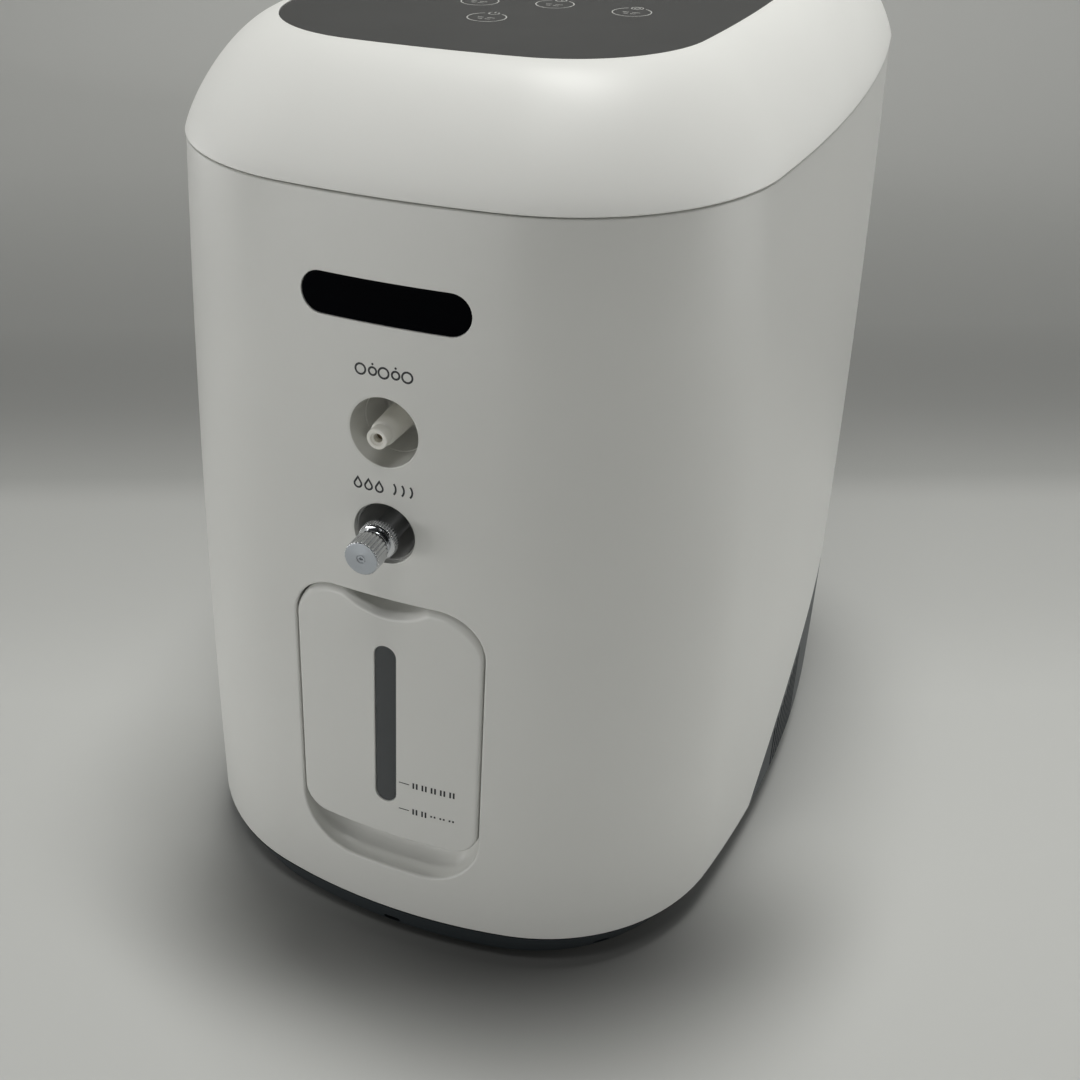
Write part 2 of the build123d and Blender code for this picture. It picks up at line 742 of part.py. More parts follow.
# ---------------------------------------------------------------- frame and compressor
def make_chassis():
    """Sheet-metal floor with two upright sides that carry the boards."""
    front, rear = body_y - 95, body_y + 62
    outside = chassis_half_width + sheet
    chassis = block((-outside, front, chassis_z), (outside, rear, chassis_z + sheet))
    for side in (-1, 1):
        low_x, high_x = sorted((side * chassis_half_width, side * outside))
        chassis += block((low_x, front, chassis_z), (high_x, body_y + 2, upright_top_z))
        for y in (body_y - 88, body_y - 8):
            for z in (164, upright_top_z - 6):
                low_x, high_x = sorted((side * (board_x + board_thickness), side * outside))
                chassis += rod_x(2.5, y, z, low_x, high_x)
    for x, y in base_screw_places:
        chassis -= rod_z(screw_radius + 0.05, x, y, 0, 30)
    return chassis


def make_compressor_mounts():
    mounts = []
    for x in (-52, 52):
        for y in (compressor_y - 22, compressor_y + 15):
            post = rod_z(7, x, y, chassis_z + sheet, compressor_base_z - 2)
            mounts.append(post - (rod_z(9, x, y, 14, 18) - rod_z(5, x, y, 14, 18)))
    return group(mounts)


def make_compressor_base():
    low = (-66, compressor_y - 31, compressor_base_z - 2)
    return block(low, (66, compressor_y + 20, compressor_base_z))


def make_motor_housing():
    housing = rod_x(motor_radius, compressor_y, compressor_z, -motor_half_length, motor_half_length)
    housing -= rod_x(motor_radius - 2.5, compressor_y, compressor_z, -100, 100)
    for index in range(5):
        x = -24 + 12 * index
        fin = rod_x(motor_radius, compressor_y, compressor_z, x - 2.5, x + 2.5)
        housing -= fin - rod_x(motor_radius - 1, compressor_y, compressor_z, -100, 100)
    return housing


def make_motor_stator():
    stator = rod_x(motor_radius - 2.5, compressor_y, compressor_z, -28, 28)
    return stator - rod_x(rotor_radius + 0.6, compressor_y, compressor_z, -60, 60)


def make_motor_windings():
    windings = []
    for low, high in ((-35, -28), (28, 35)):
        ring = rod_x(motor_radius - 4, compressor_y, compressor_z, low, high)
        windings.append(ring - rod_x(rotor_radius + 1.5, compressor_y, compressor_z, -60, 60))
    return group(windings)


def make_rotor():
    rotor = rod_x(rotor_radius, compressor_y, compressor_z, -27, 27)
    return rotor - rod_x(shaft_radius, compressor_y, compressor_z, -60, 60)


def make_crankshaft():
    shaft = rod_x(shaft_radius, compressor_y, compressor_z, -cylinder_x - 6, cylinder_x + 6)
    for side in (-1, 1):
        low, high = sorted((side * (cylinder_x - 5), side * (cylinder_x + 5)))
        shaft += rod_x(eccentric_radius, compressor_y, compressor_z + eccentric_offset, low, high)
    return shaft


def make_bearings():
    rings = []
    for low, high in ((-44, -38), (38, 44)):
        ring = rod_x(bearing_radius, compressor_y, compressor_z, low, high)
        rings.append(ring - rod_x(shaft_radius + bearing_clearance, compressor_y, compressor_z, -60, 60))
    return group(rings)


def make_crankcase(side):
    """Box round one end of the crankshaft, open to the side and bored for the bearing and the cylinder."""
    low, high = sorted((side * motor_half_length, side * (motor_half_length + crankcase_length)))
    case = block((low, compressor_y - 31, compressor_base_z), (high, compressor_y + 31, crankcase_top_z))
    hollow_low, hollow_high = sorted((side * 44, side * 90))
    case -= rod_x(24, compressor_y, compressor_z, hollow_low, hollow_high)
    case -= rod_x(bearing_radius, compressor_y, compressor_z, *sorted((side * 30, side * 50)))
    return case - rod_z(cylinder_bore, side * cylinder_x, compressor_y, compressor_z, 200)


def make_crankcase_covers():
    covers = []
    for side in (-1, 1):
        low, high = sorted((side * 70, side * 72))
        covers.append(block((low, compressor_y - 29, 28), (high, compressor_y + 29, crankcase_top_z - 2)))
    return covers


def make_cylinders():
    sleeves = []
    for side in (-1, 1):
        x = side * cylinder_x
        sleeve = rod_z(cylinder_radius, x, compressor_y, crankcase_top_z, cylinder_top_z)
        for index in range(4):
            z = crankcase_top_z + 3 + 4.5 * index
            groove = rod_z(cylinder_radius + 1, x, compressor_y, z, z + 2)
            sleeve -= groove - rod_z(cylinder_radius - 2, x, compressor_y, z, z + 2)
        sleeves.append(sleeve - rod_z(cylinder_bore, x, compressor_y, 0, 200))
    return group(sleeves)


def make_cylinder_heads():
    heads = []
    for side in (-1, 1):
        x = side * cylinder_x
        low = (x - 17, compressor_y - 19, cylinder_top_z)
        head = block(low, (x + 17, compressor_y + 19, cylinder_top_z + 12))
        for index in range(5):
            y = compressor_y - 14 + 7 * index
            head -= block((x - 20, y - 1.5, cylinder_top_z + 5), (x + 20, y + 1.5, cylinder_top_z + 13))
        heads.append(head)
    return group(heads)


def make_piston(side):
    """Piston with a short stub of its rod; the joint to the eccentric is left open."""
    x = side * cylinder_x
    piston = rod_z(piston_radius, x, compressor_y, cylinder_top_z - 10, cylinder_top_z - 3)
    return piston + rod_z(4, x, compressor_y, compressor_z + 25, cylinder_top_z - 10)


# ---------------------------------------------------------------- cooling, sieve beds and valves
def make_heat_exchanger():
    low, high = (-40, body_y + 5, 130), (40, body_y + 55, 144)
    fins = []
    for index in range(14):
        x = low[0] + 6 * index
        fins.append(block((x, low[1], low[2]), (x + 1.2, high[1], high[2])))
    core = fins[0]
    for fin in fins[1:]:
        core += fin
    for y in (body_y + 18, body_y + 42):
        core += rod_x(3.5, y, cooler_z, -44, 44)
        core -= rod_x(2.5, y, cooler_z, -45, 45)
    return core


def make_fan_frame():
    y = body_y + fan_back
    half = fan_size / 2
    frame = block((-half, y - half, fan_z), (half, y + half, fan_z + fan_height))
    frame -= rod_z(half - 1.5, 0, y, fan_z - 1, fan_z + fan_height + 1)
    hub = rod_z(12, 0, y, fan_z, fan_z + 2.5)
    spokes = block((-half + 0.5, y - 2, fan_z), (half - 0.5, y + 2, fan_z + 2.5))
    spokes += block((-2, y - half + 0.5, fan_z), (2, y + half - 0.5, fan_z + 2.5))
    pin = rod_z(1.5, 0, y, fan_z, fan_z + 14)
    return frame + hub + spokes + pin


def make_fan_rotor():
    y = body_y + fan_back
    hub = rod_z(12, 0, y, fan_z + 3, fan_z + 17) - rod_z(1.55, 0, y, fan_z, fan_z + 14.5)
    blade = Pos(0, 0, fan_z + 10) * (Rot(38, 0, 0) * Pos(18.5, 0, 0) * Box(17, 13, 1.2))
    rotor = hub
    for index in range(7):
        rotor += Pos(0, y, 0) * (Rot(0, 0, index * 360 / 7) * blade)
    return rotor


def make_bed_shelf():
    top = crankcase_top_z + 4
    shelf = block((-84, body_y + 66, top - 2), (84, body_y + 112, top)) & shell_form(wall + 1.0)
    for x in (-78, 78):
        shelf += rod_z(4, x, body_y + 90, tub_floor_z + tray_floor, top)
    return shelf


def make_sieve_bed(side):
    x, y = side * bed_x, body_y + bed_back
    return rod_z(bed_radius, x, y, bed_low_z + 8, bed_high_z - 8)


def make_bed_caps():
    caps = []
    for side in (-1, 1):
        for low in (bed_low_z, bed_high_z - 8):
            caps.append(rod_z(bed_radius + 2, side * bed_x, body_y + bed_back, low, low + 8))
    return group(caps)


def make_product_tank():
    tank = rod_z(bed_radius, 0, body_y + bed_back + 4, bed_low_z, product_tank_top_z)
    tank = fillet(tank.edges().filter_by(GeomType.CIRCLE), 6)
    return tank + rod_z(3, 0, body_y + bed_back + 4, product_tank_top_z - 1, product_tank_top_z + 8)


def make_valve_manifold():
    y = body_y + bed_back
    block_low, block_high = (-62, y - 12, bed_high_z), (62, y + 12, bed_high_z + 14)
    return block(block_low, block_high)


def make_valve_coils():
    coils = []
    for x in (-36, -12, 12, 36):
        y = body_y + bed_back - 12
        coil = rod_y(7.5, x, bed_high_z + 8, y - 24, y - 3)
        coils.append(coil + rod_y(3.5, x, bed_high_z + 8, y - 28, y))
    return group(coils)


def make_sound_foam():
    pads = []
    liner = shell_form(wall + 0.5) - shell_form(wall + 6.0)
    for side in (-1, 1):
        low_x, high_x = sorted((side * 80, side * 110))
        pads.append(liner & block((low_x, body_y - 45, 75), (high_x, body_y + 45, 240)))
    return group(pads)


def make_intake_silencer():
    x, y = silencer_place
    return rod_z(13, x, y, 182, 222) + rod_z(4, x, y, 178, 228)


def make_hoses():
    """Soft tubes: compressor to cooler, cooler to valves, product gas to the front, and the air intake."""
    tank_y = body_y + bed_back + 4
    cooler_front_y, cooler_back_y = body_y + 18, body_y + 42
    valve_z = bed_high_z + 7
    head_z = cylinder_top_z + 6
    regulator_y = body_y - 30
    manifold_y = body_y + bed_back - 12
    port_y = bay_front_y + bay_length + 10
    oxygen_root = front_y(oxygen_z) + well_depth + cup_wall + 10
    atomizer_root = front_y(atomizer_z) + well_depth + cup_wall + 10
    filter_back = back_y(filter_z) - 18
    silencer_x, silencer_y = silencer_place
    routes = [
        [
            (cylinder_x, compressor_y - 19, head_z),
            (cylinder_x, 14, head_z),
            (60, 10, 130),
            (cylinder_x, cooler_front_y, cooler_z),
            (44, cooler_front_y, cooler_z),
        ],
        [
            (44, cooler_back_y, cooler_z),
            (55, cooler_back_y, cooler_z),
            (57, 45, 170),
            (55, 46, 225),
            (52, 56, valve_z),
            (52, manifold_y, valve_z),
        ],
        [
            (0, tank_y, product_tank_top_z + 8),
            (0, tank_y, 233),
            (0, 68, 238),
            (-3, 20, 228),
            (-6, -12, 205),
            (-6, regulator_y, regulator_z),
            (6, regulator_y, regulator_z),
        ],
        [
            (42, regulator_y, regulator_z),
            (53, regulator_y, regulator_z),
            (54, -18, 160),
            (36, -8, 141),
            (port_x[1], -16, port_z),
            (port_x[1], port_y, port_z),
        ],
        [
            (port_x[0], port_y, port_z),
            (port_x[0], -20, port_z),
            (-13, -16, 170),
            (-7, -50, 198),
            (0, -85, oxygen_z),
            (0, oxygen_root, oxygen_z),
        ],
        [
            (24, regulator_y, 208),
            (24, regulator_y, 220),
            (22, -60, 212),
            (12, -85, 180),
            (0, -92, atomizer_z),
            (0, atomizer_root, atomizer_z),
        ],
        [
            (-30, filter_back, filter_z),
            (-30, 110, filter_z),
            (-31, 72, 156),
            (-40, 44, 180),
            (-40, 28, 225),
            (silencer_x, silencer_y, 246),
            (silencer_x, silencer_y, 228),
        ],
        [
            (silencer_x, silencer_y, 178),
            (silencer_x, silencer_y, 140),
            (silencer_x, 14, 118),
            (silencer_x, 21, 106),
            (silencer_x, 21, crankcase_top_z),
        ],
    ]
    tubes = [hose(route, hose_radius, hose_bore) for route in routes]
    crossover = rod_x(hose_radius, compressor_y, head_z, 17 - cylinder_x, cylinder_x - 17)
    return group(tubes + [crossover])


def make_pressure_regulator():
    y = body_y - 30
    body = rod_z(13, 24, y, 178, 196) + rod_z(8, 24, y, 196, 208)
    return body + rod_x(3.5, y, regulator_z, 6, 42)


# ---------------------------------------------------------------- boards
def make_board(side):
    low, high = sorted((side * board_x, side * (board_x + board_thickness)))
    return block((low, body_y - 92, 158), (high, body_y - 4, upright_top_z))


def make_main_board_parts():
    face = board_x
    pieces = [
        block((face - 12, body_y - 80, 170), (face, body_y - 40, 178)),
        block((face - 3, body_y - 70, 195), (face, body_y - 50, 215)),
        block((face - 8, body_y - 30, 180), (face, body_y - 20, 235)),
        rod_x(5, body_y - 60, 230, face - 14, face),
        rod_x(5, body_y - 74, 230, face - 14, face),
    ]
    return pieces


def make_power_supply_parts():
    face = -board_x
    pieces = [
        block((face, body_y - 80, 172), (face + 22, body_y - 50, 204)),
        block((face, body_y - 38, 172), (face + 18, body_y - 14, 200)),
        rod_x(9, body_y - 72, 226, face, face + 26),
        rod_x(6, body_y - 48, 226, face, face + 20),
        block((face, body_y - 34, 212), (face + 14, body_y - 28, 240)),
    ]
    return pieces


# ---------------------------------------------------------------- places worked out from the dimensions
wells = ((oxygen_z, oxygen_well_radius), (atomizer_z, atomizer_well_radius))
bay_front_y = front_y(recess_bottom_z) + sill_depth
bay_floor_z = cover_bottom_z - cover_gap
cover_back_y = front_y(100.0) + cover_depth
tank_floor_z = bay_floor_z + 2.5
tank_back_y = bay_front_y + bay_length - bay_wall - 6.0
port_x = (-12.0, 12.0)
port_z = tank_top_z + lid_thickness + 5.0
port_radius = 3.0
foot_radius = 9.0
screw_radius = 1.5
chassis_z = tub_floor_z + tray_floor + 2.0
sheet = 1.5
upright_top_z = 250.0
foot_places = [(x, body_y + y) for x in (-66.0, 66.0) for y in (-95.0, 95.0)]
base_screw_places = [(x, body_y + y) for x in (-40.0, 40.0) for y in (-80.0, 50.0)]
service_y = back_y(service_z, service_size[0] / 2) - 3.0
inlet_x = -30.0
rocker_x = 30.0
rocker_tilt = 7.0
rocker_sink = 1.0
rocker_pin_radius = 1.5
rocker_pin_half_length = 8.5
fuse_radius = 6.5
compressor_y = body_y + compressor_back
compressor_base_z = compressor_z - motor_radius
crankcase_top_z = compressor_z + 30.0
cylinder_top_z = crankcase_top_z + 20.0
cylinder_bore = piston_radius + 0.1
bed_low_z = crankcase_top_z + 4.0
bed_high_z = 244.0
product_tank_top_z = 205.0
cooler_z = 137.0
regulator_z = 187.0
silencer_place = (-48.0, body_y + 5.0)
hose_radius = 3.2
hose_bore = 2.0
board_x = 66.0
board_thickness = 1.6


def make_all():
    outer = shell_form()
    return {
        "body_shell": make_body_shell(outer),
        "top_cap": make_top_cap(),
        "touch_panel": make_touch_panel(),
        "display_window": make_display_window(),
        "key_and_display_boards": group([make_touch_board(), make_display_board()]),
        "oxygen_port_cup": make_port_cup(outer, oxygen_z, oxygen_well_radius),
        "oxygen_nozzle": make_oxygen_nozzle(),
        "atomizer_port_cup": make_port_cup(outer, atomizer_z, atomizer_well_radius),
        "atomizer_nozzle": make_atomizer_nozzle(),
        "atomizer_lock_ring": make_lock_ring(),
        "atomizer_cap": make_knurled_cap(),
        "atomizer_washer": make_cap_washer(),
        "base_tray": make_base_tray(outer),
        "rubber_feet": make_rubber_feet(),
        "base_screws": make_base_screws(),
        "tank_bay": make_tank_bay(),
        "tank_cover": make_tank_cover(),
        "sight_window": make_sight_window(),
        "tank_cup": make_tank_cup(),
        "tank_lid": make_tank_lid(),
        "tank_seal": make_tank_seal(),
        "rear_grip": make_rear_grip(outer),
        "filter_cover": make_filter_cover(outer),
        "filter_element": make_filter_element(),
        "filter_tray": make_filter_tray(),
        "service_panel": make_service_panel(outer),
        "power_inlet": make_power_inlet(),
        "switch_bezel": make_switch_bezel(),
        "switch_rocker": make_rocker(),
        "fuse_holder": group([make_fuse_holder(), make_fuse()]),
        "fuse_cap": make_fuse_cap(),
        "chassis": make_chassis(),
        "compressor_mounts": make_compressor_mounts(),
        "compressor_base": make_compressor_base(),
        "motor_housing": make_motor_housing(),
        "motor_stator": make_motor_stator(),
        "motor_windings": make_motor_windings(),
        "motor_rotor": make_rotor(),
        "crankshaft": make_crankshaft(),
        "bearings": make_bearings(),
        "crankcases": group([make_crankcase(-1), make_crankcase(1), *make_crankcase_covers()]),
        "cylinders": make_cylinders(),
        "cylinder_heads": make_cylinder_heads(),
        "left_piston": make_piston(-1),
        "right_piston": make_piston(1),
        "heat_exchanger": make_heat_exchanger(),
        "fan_frame": make_fan_frame(),
        "fan_rotor": make_fan_rotor(),
        "bed_shelf": make_bed_shelf(),
        "sieve_beds": group([make_sieve_bed(-1), make_sieve_bed(1)]),
        "bed_caps": make_bed_caps(),
        "product_tank": make_product_tank(),
        "valve_manifold": make_valve_manifold(),
        "valve_coils": make_valve_coils(),
        "sound_foam": make_sound_foam(),
        "intake_silencer": make_intake_silencer(),
        "pressure_regulator": make_pressure_regulator(),
        "hoses": make_hoses(),
        "circuit_boards": group([make_board(-1), make_board(1)]),
        "board_parts": group(make_main_board_parts() + make_power_supply_parts()),
    }


os.makedirs("parts", exist_ok=True)
for name, shape in make_all().items():
    export_step(shape, f"parts/{name}.step")
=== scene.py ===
import bpy
import json
from math import acos, asin, atan2, cos, hypot, pi, radians, sin, sqrt
from mathutils import Matrix, Vector
from mathutils.geometry import delaunay_2d_cdt


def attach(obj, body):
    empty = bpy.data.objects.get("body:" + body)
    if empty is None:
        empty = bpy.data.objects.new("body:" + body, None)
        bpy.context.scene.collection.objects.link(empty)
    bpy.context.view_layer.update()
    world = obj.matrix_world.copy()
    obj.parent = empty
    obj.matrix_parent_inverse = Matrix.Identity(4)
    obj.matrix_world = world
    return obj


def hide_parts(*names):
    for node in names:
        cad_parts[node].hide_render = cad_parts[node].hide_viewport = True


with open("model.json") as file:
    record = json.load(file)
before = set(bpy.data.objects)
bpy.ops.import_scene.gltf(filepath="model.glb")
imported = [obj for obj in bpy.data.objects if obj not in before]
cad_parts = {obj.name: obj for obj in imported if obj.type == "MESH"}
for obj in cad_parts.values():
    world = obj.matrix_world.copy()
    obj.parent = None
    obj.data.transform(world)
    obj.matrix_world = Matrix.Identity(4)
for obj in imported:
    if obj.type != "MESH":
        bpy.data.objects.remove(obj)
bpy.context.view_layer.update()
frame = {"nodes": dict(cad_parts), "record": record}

MM = 0.001

# ---------------------------------------------------------------- the housing's form
# Lengths are in millimetres and agree with the CAD. The model's Y origin lies on the atomizer outlet's level.
WALL = 2.5
BASE_SEAM_Z = 14.5
CAP_SEAM_Z = 266.5
PANEL_Z = 297.7
SEAM_GAP = 0.4
FRONT_LEAN = 8.6
BACK_LEAN = 3.6
SIDE_BULGE = 1.9
ATOMIZER_Z = 167.0
BODY_Y = (14.9 - FRONT_LEAN * (ATOMIZER_Z - BASE_SEAM_Z) / (CAP_SEAM_Z - BASE_SEAM_Z)) / 2

# plan outlines: half width, front y, back y, then the radii of the front and back, of the sides and of the corners
BASE_OUTLINE = (106.2, BODY_Y - 151.4, BODY_Y + 151.4, 193.0, 488.0, 72.0)
SEAM_OUTLINE = (95.0, BASE_OUTLINE[1] + FRONT_LEAN, BASE_OUTLINE[2] - BACK_LEAN, 303.0, 690.0, 64.6)
PANEL_OUTLINE = (68.4, SEAM_OUTLINE[1] + 29.8, SEAM_OUTLINE[2] - 29.8, 347.0, 600.0, 41.3)
CAP_OVERHANG = 0.5
CAP_SHOULDER = 1.25
CAP_FULLNESS = 1.6

# the arch in each lower side, measured along Y from the body's middle
ARCH_START = -48.0
ARCH_CENTRE = (66.5, -85.2)
ARCH_RADIUS = 151.8

DISPLAY_Z = 238.2
DISPLAY_HALF = (25.5, 6.0)
OXYGEN_Z = 200.0
OXYGEN_WELL_RADIUS = 11.5
ATOMIZER_WELL_RADIUS = 10.7
COVER_HALF_WIDTH = 32.2
COVER_TOP_Z = 143.4
COVER_BOTTOM_Z = 48.8
COVER_GAP = 0.5
RECESS_BOTTOM_Z = 34.2
BAY_FRONT_Y = -130.9
COVER_BACK_Y = -134.63


def lerp(a, b, share):
    return a + (b - a) * share


def smoothstep(low, high, value):
    share = min(1.0, max(0.0, (value - low) / (high - low)))
    return share * share * (3 - 2 * share)


def shell_outline(z):
    """The shell's plan outline at a height: a straight change from base to seam, with a slight bulge of the sides."""
    share = (z - BASE_SEAM_Z) / (CAP_SEAM_Z - BASE_SEAM_Z)
    mixed = [lerp(a, b, share) for a, b in zip(BASE_OUTLINE, SEAM_OUTLINE)]
    mixed[0] += 4 * SIDE_BULGE * share * (1 - share)
    return mixed


def inset(outline, amount):
    half, front, back, front_r, side_r, corner_r = outline
    return [half - amount, front + amount, back - amount, front_r - amount, side_r - amount, corner_r - amount]


def cap_outline(z):
    share = min(1.0, max(0.0, (z - CAP_SEAM_Z) / (PANEL_Z - CAP_SEAM_Z)))
    inward = 1 - (1 - share**CAP_SHOULDER) ** (1 / CAP_FULLNESS)
    return [lerp(a, b, inward) for a, b in zip(inset(SEAM_OUTLINE, -CAP_OVERHANG), PANEL_OUTLINE)]


def arcs_of(outline):
    """The right half of a plan outline, as (centre x, centre y, radius, start angle, end angle)."""
    half, front, back, front_r, side_r, corner_r = outline
    middle = (front + back) / 2
    side_x = half - side_r
    to_front, to_side = front_r - corner_r, side_r - corner_r
    front_cy = front + front_r
    apart = hypot(side_x, middle - front_cy)
    along = (to_front**2 - to_side**2 + apart**2) / (2 * apart)
    across = sqrt(to_front**2 - along**2)
    ux, uy = side_x / apart, (middle - front_cy) / apart
    cx, cy = ux * along - uy * across, front_cy + uy * along + ux * across
    first = atan2(cy - front_cy, cx)
    second = atan2(cy - middle, cx - side_x)
    return [
        (0.0, front_cy, front_r, -pi / 2, first),
        (cx, cy, corner_r, first, second),
        (side_x, middle, side_r, second, -second),
        (cx, 2 * middle - cy, corner_r, -second, -first),
        (0.0, 2 * middle - front_cy, front_r, -first, pi / 2),
    ]


def half_length(arcs):
    return sum(r * (end - start) for _, _, r, start, end in arcs)


def at_length(arcs, s):
    """The point at arc length s from the front's middle, going round by the right side."""
    for cx, cy, r, start, end in arcs:
        length = r * (end - start)
        if s <= length or end == pi / 2:
            angle = start + s / r
            return cx + r * cos(angle), cy + r * sin(angle)
        s -= length


def length_to_x(arcs, x):
    """Arc length from the front's middle to the point of the front right quarter with this x."""
    _, _, r, start, end = arcs[0]
    if x <= r * cos(end):
        return r * asin(x / r)
    done = r * (end - start)
    cx, _, r, start, _ = arcs[1]
    return done + r * (-acos((x - cx) / r) - start)


def front_y(x, z):
    arcs = arcs_of(shell_outline(z))
    return at_length(arcs, length_to_x(arcs, abs(x)))[1]


def back_y(x, z):
    """The back mirrors the front about the outline's middle."""
    outline = shell_outline(z)
    return outline[1] + outline[2] - front_y(x, z)


def arch_z(y):
    """Lower edge of the white shell at a given y."""
    from_middle = y - BODY_Y
    if from_middle < ARCH_START:
        return BASE_SEAM_Z
    if from_middle > ARCH_CENTRE[0]:
        return ARCH_CENTRE[1] + ARCH_RADIUS
    return max(BASE_SEAM_Z, ARCH_CENTRE[1] + sqrt(ARCH_RADIUS**2 - (from_middle - ARCH_CENTRE[0]) ** 2))


# ---------------------------------------------------------------- mesh building
POINT_CELLS = 5e5
NORMAL_CELLS = 20


class Builder:
    """Collects points with their own shading normals, then welds them into one smooth mesh."""

    def __init__(self):
        self.points = []
        self.normals = []
        self.faces = []

    def add(self, point, normal):
        self.points.append(Vector(point) * MM)
        self.normals.append(Vector(normal).normalized())
        return len(self.points) - 1

    def face(self, indices, facing=None):
        """facing turns the face so that it looks the way its points' normals do."""
        corners = [self.points[i] for i in indices]
        area = sum(((a.cross(b)) for a, b in zip(corners, corners[1:] + corners[:1])), Vector())
        mean = sum((self.normals[i] for i in indices), Vector()) if facing is None else Vector(facing)
        if area.length < 1e-15:
            return
        self.faces.append(list(indices) if area.dot(mean) > 0 else list(reversed(indices)))

    def grid(self, rows, closed=False):
        """Quads between rows of already added points."""
        for low, high in zip(rows, rows[1:]):
            count = len(low)
            for k in range(count if closed else count - 1):
                n = (k + 1) % count
                self.face((low[k], low[n], high[n], high[k]))

    def mesh(self, name, material, custom_normals=True):
        """Points in one 2 micron cell with nearly the same normal become one. A face that collapses is dropped."""
        data = bpy.data.meshes.new(name)
        keys, remap, points, normals = {}, [], [], []
        for p, n in zip(self.points, self.normals):
            key = tuple(round(c * POINT_CELLS) for c in p) + tuple(round(c * NORMAL_CELLS) for c in n)
            if key not in keys:
                keys[key] = len(points)
                points.append(p)
                normals.append(n)
            remap.append(keys[key])
        faces = []
        for f in self.faces:
            merged = []
            for i in (remap[i] for i in f):
                if not merged or merged[-1] != i:
                    merged.append(i)
            if merged[0] == merged[-1]:
                merged.pop()
            if len(merged) > 2 and len(set(merged)) == len(merged):
                faces.append(merged)
        data.from_pydata(points, [], faces)
        data.polygons.foreach_set("use_smooth", [True] * len(data.polygons))
        data.update()
        if custom_normals and len(data.vertices) == len(normals):
            data.normals_split_custom_set_from_vertices(normals)
        obj = bpy.data.objects.new(name, data)
        bpy.context.scene.collection.objects.link(obj)
        data.materials.append(material)
        return obj


def place(obj, body, slot, *nodes):
    """The piece rides on a body and may stand in for CAD nodes. The slot argument is not used."""
    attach(obj, body)
    if nodes:
        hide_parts(*nodes)


def surface_normal(surface, x, z, sign):
    """Normal of y = surface(x, z); sign is -1 for a face that looks towards -Y."""
    step = 0.05
    slope_x = (surface(x + step, z) - surface(x - step, z)) / (2 * step)
    slope_z = (surface(x, z + step) - surface(x, z - step)) / (2 * step)
    return Vector((-slope_x, 1, -slope_z)).normalized() * sign


def loop_normals(loop):
    """Outward unit normals of a closed anticlockwise loop in the plane."""
    normals = []
    count = len(loop)
    for k in range(count):
        ax, az = loop[k - 1]
        bx, bz = loop[(k + 1) % count]
        dx, dz = bx - ax, bz - az
        size = hypot(dx, dz) or 1.0
        normals.append((dz / size, -dx / size))
    return normals


def moved_loop(loop, amount):
    """The loop moved out along its normals; amount is one number or one for each point."""
    amounts = amount if isinstance(amount, list) else [amount] * len(loop)
    return [(x + nx * a, z + nz * a) for (x, z), (nx, nz), a in zip(loop, loop_normals(loop), amounts)]


TRIANGLE_HEIGHT = 0.866
CLEAR_OF_EDGE = 0.45


def inside(point, loop):
    x, z = point
    hit = False
    for k in range(len(loop)):
        ax, az = loop[k - 1]
        bx, bz = loop[k]
        if (az > z) != (bz > z) and x < (bx - ax) * (z - az) / (bz - az) + ax:
            hit = not hit
    return hit


def near(point, loops, distance):
    x, z = point
    return any(abs(x - px) < distance and abs(z - pz) < distance for loop in loops for px, pz in loop)


def filled(builder, outer, holes, surface, sign, spacing):
    """Near-equilateral triangles between an outer loop and its holes, on y = surface(x, z)."""
    loops = [outer] + holes
    flat = [p for loop in loops for p in loop]
    edges, first = [], 0
    for loop in loops:
        edges += [(first + k, first + (k + 1) % len(loop)) for k in range(len(loop))]
        first += len(loop)
    low_x, high_x = min(p[0] for p in outer), max(p[0] for p in outer)
    low_z, high_z = min(p[1] for p in outer), max(p[1] for p in outer)
    rows = int((high_z - low_z) / (spacing * TRIANGLE_HEIGHT))
    for r in range(1, rows):
        z = low_z + r * (high_z - low_z) / rows
        x = low_x + spacing * (0.5 + 0.5 * (r % 2))
        while x < high_x:
            point = (x, z)
            if inside(point, outer) and not any(inside(point, h) for h in holes):
                if not near(point, loops, spacing * CLEAR_OF_EDGE):
                    flat.append(point)
            x += spacing
    made = delaunay_2d_cdt([Vector(p) for p in flat], edges, [], 0, 1e-5)
    indices = []
    for p in made[0]:
        indices.append(builder.add((p.x, surface(p.x, p.y), p.y), surface_normal(surface, p.x, p.y, sign)))
    for tri in made[2]:
        cx = sum(made[0][i].x for i in tri) / 3
        cz = sum(made[0][i].y for i in tri) / 3
        if inside((cx, cz), outer) and not any(inside((cx, cz), h) for h in holes):
            builder.face([indices[i] for i in tri])


def rolled(builder, loop, radius, depth, surface, sign, outward, steps=6, end=None):
    """A rounded edge and a wall behind it, along a closed loop that is the true edge.
    outward is True for the outside edge of a piece and False for a hole's edge."""
    way = 1 if outward else -1
    radii = radius if isinstance(radius, list) else [radius] * len(loop)
    normals = loop_normals(loop)
    rows = []
    for step in range(steps + 2):
        turn = min(1.0, step / steps) * pi / 2
        row = []
        for (x, z), (nx, nz), r in zip(loop, normals, radii):
            back = r * (1 - sin(turn))
            px, pz = x - way * nx * back, z - way * nz * back
            sx, sz = x - way * nx * r, z - way * nz * r
            surf = surface(sx, sz) if step <= steps else surface(x, z)
            y = surface(px, pz) - sign * r * (1 - cos(turn))
            if step > steps:
                y = end if end is not None else surf - sign * depth
            face = surface_normal(surface, sx, sz, sign) * cos(turn)
            row.append(builder.add((px, y, pz), face + Vector((nx, 0, nz)) * (way * sin(turn))))
        rows.append(row)
    builder.grid(rows, closed=True)


def arc_points(cx, cz, r, start, end, count):
    """An arc without its last point."""
    angles = [lerp(start, end, k / count) for k in range(count)]
    return [(cx + r * cos(a), cz + r * sin(a)) for a in angles]


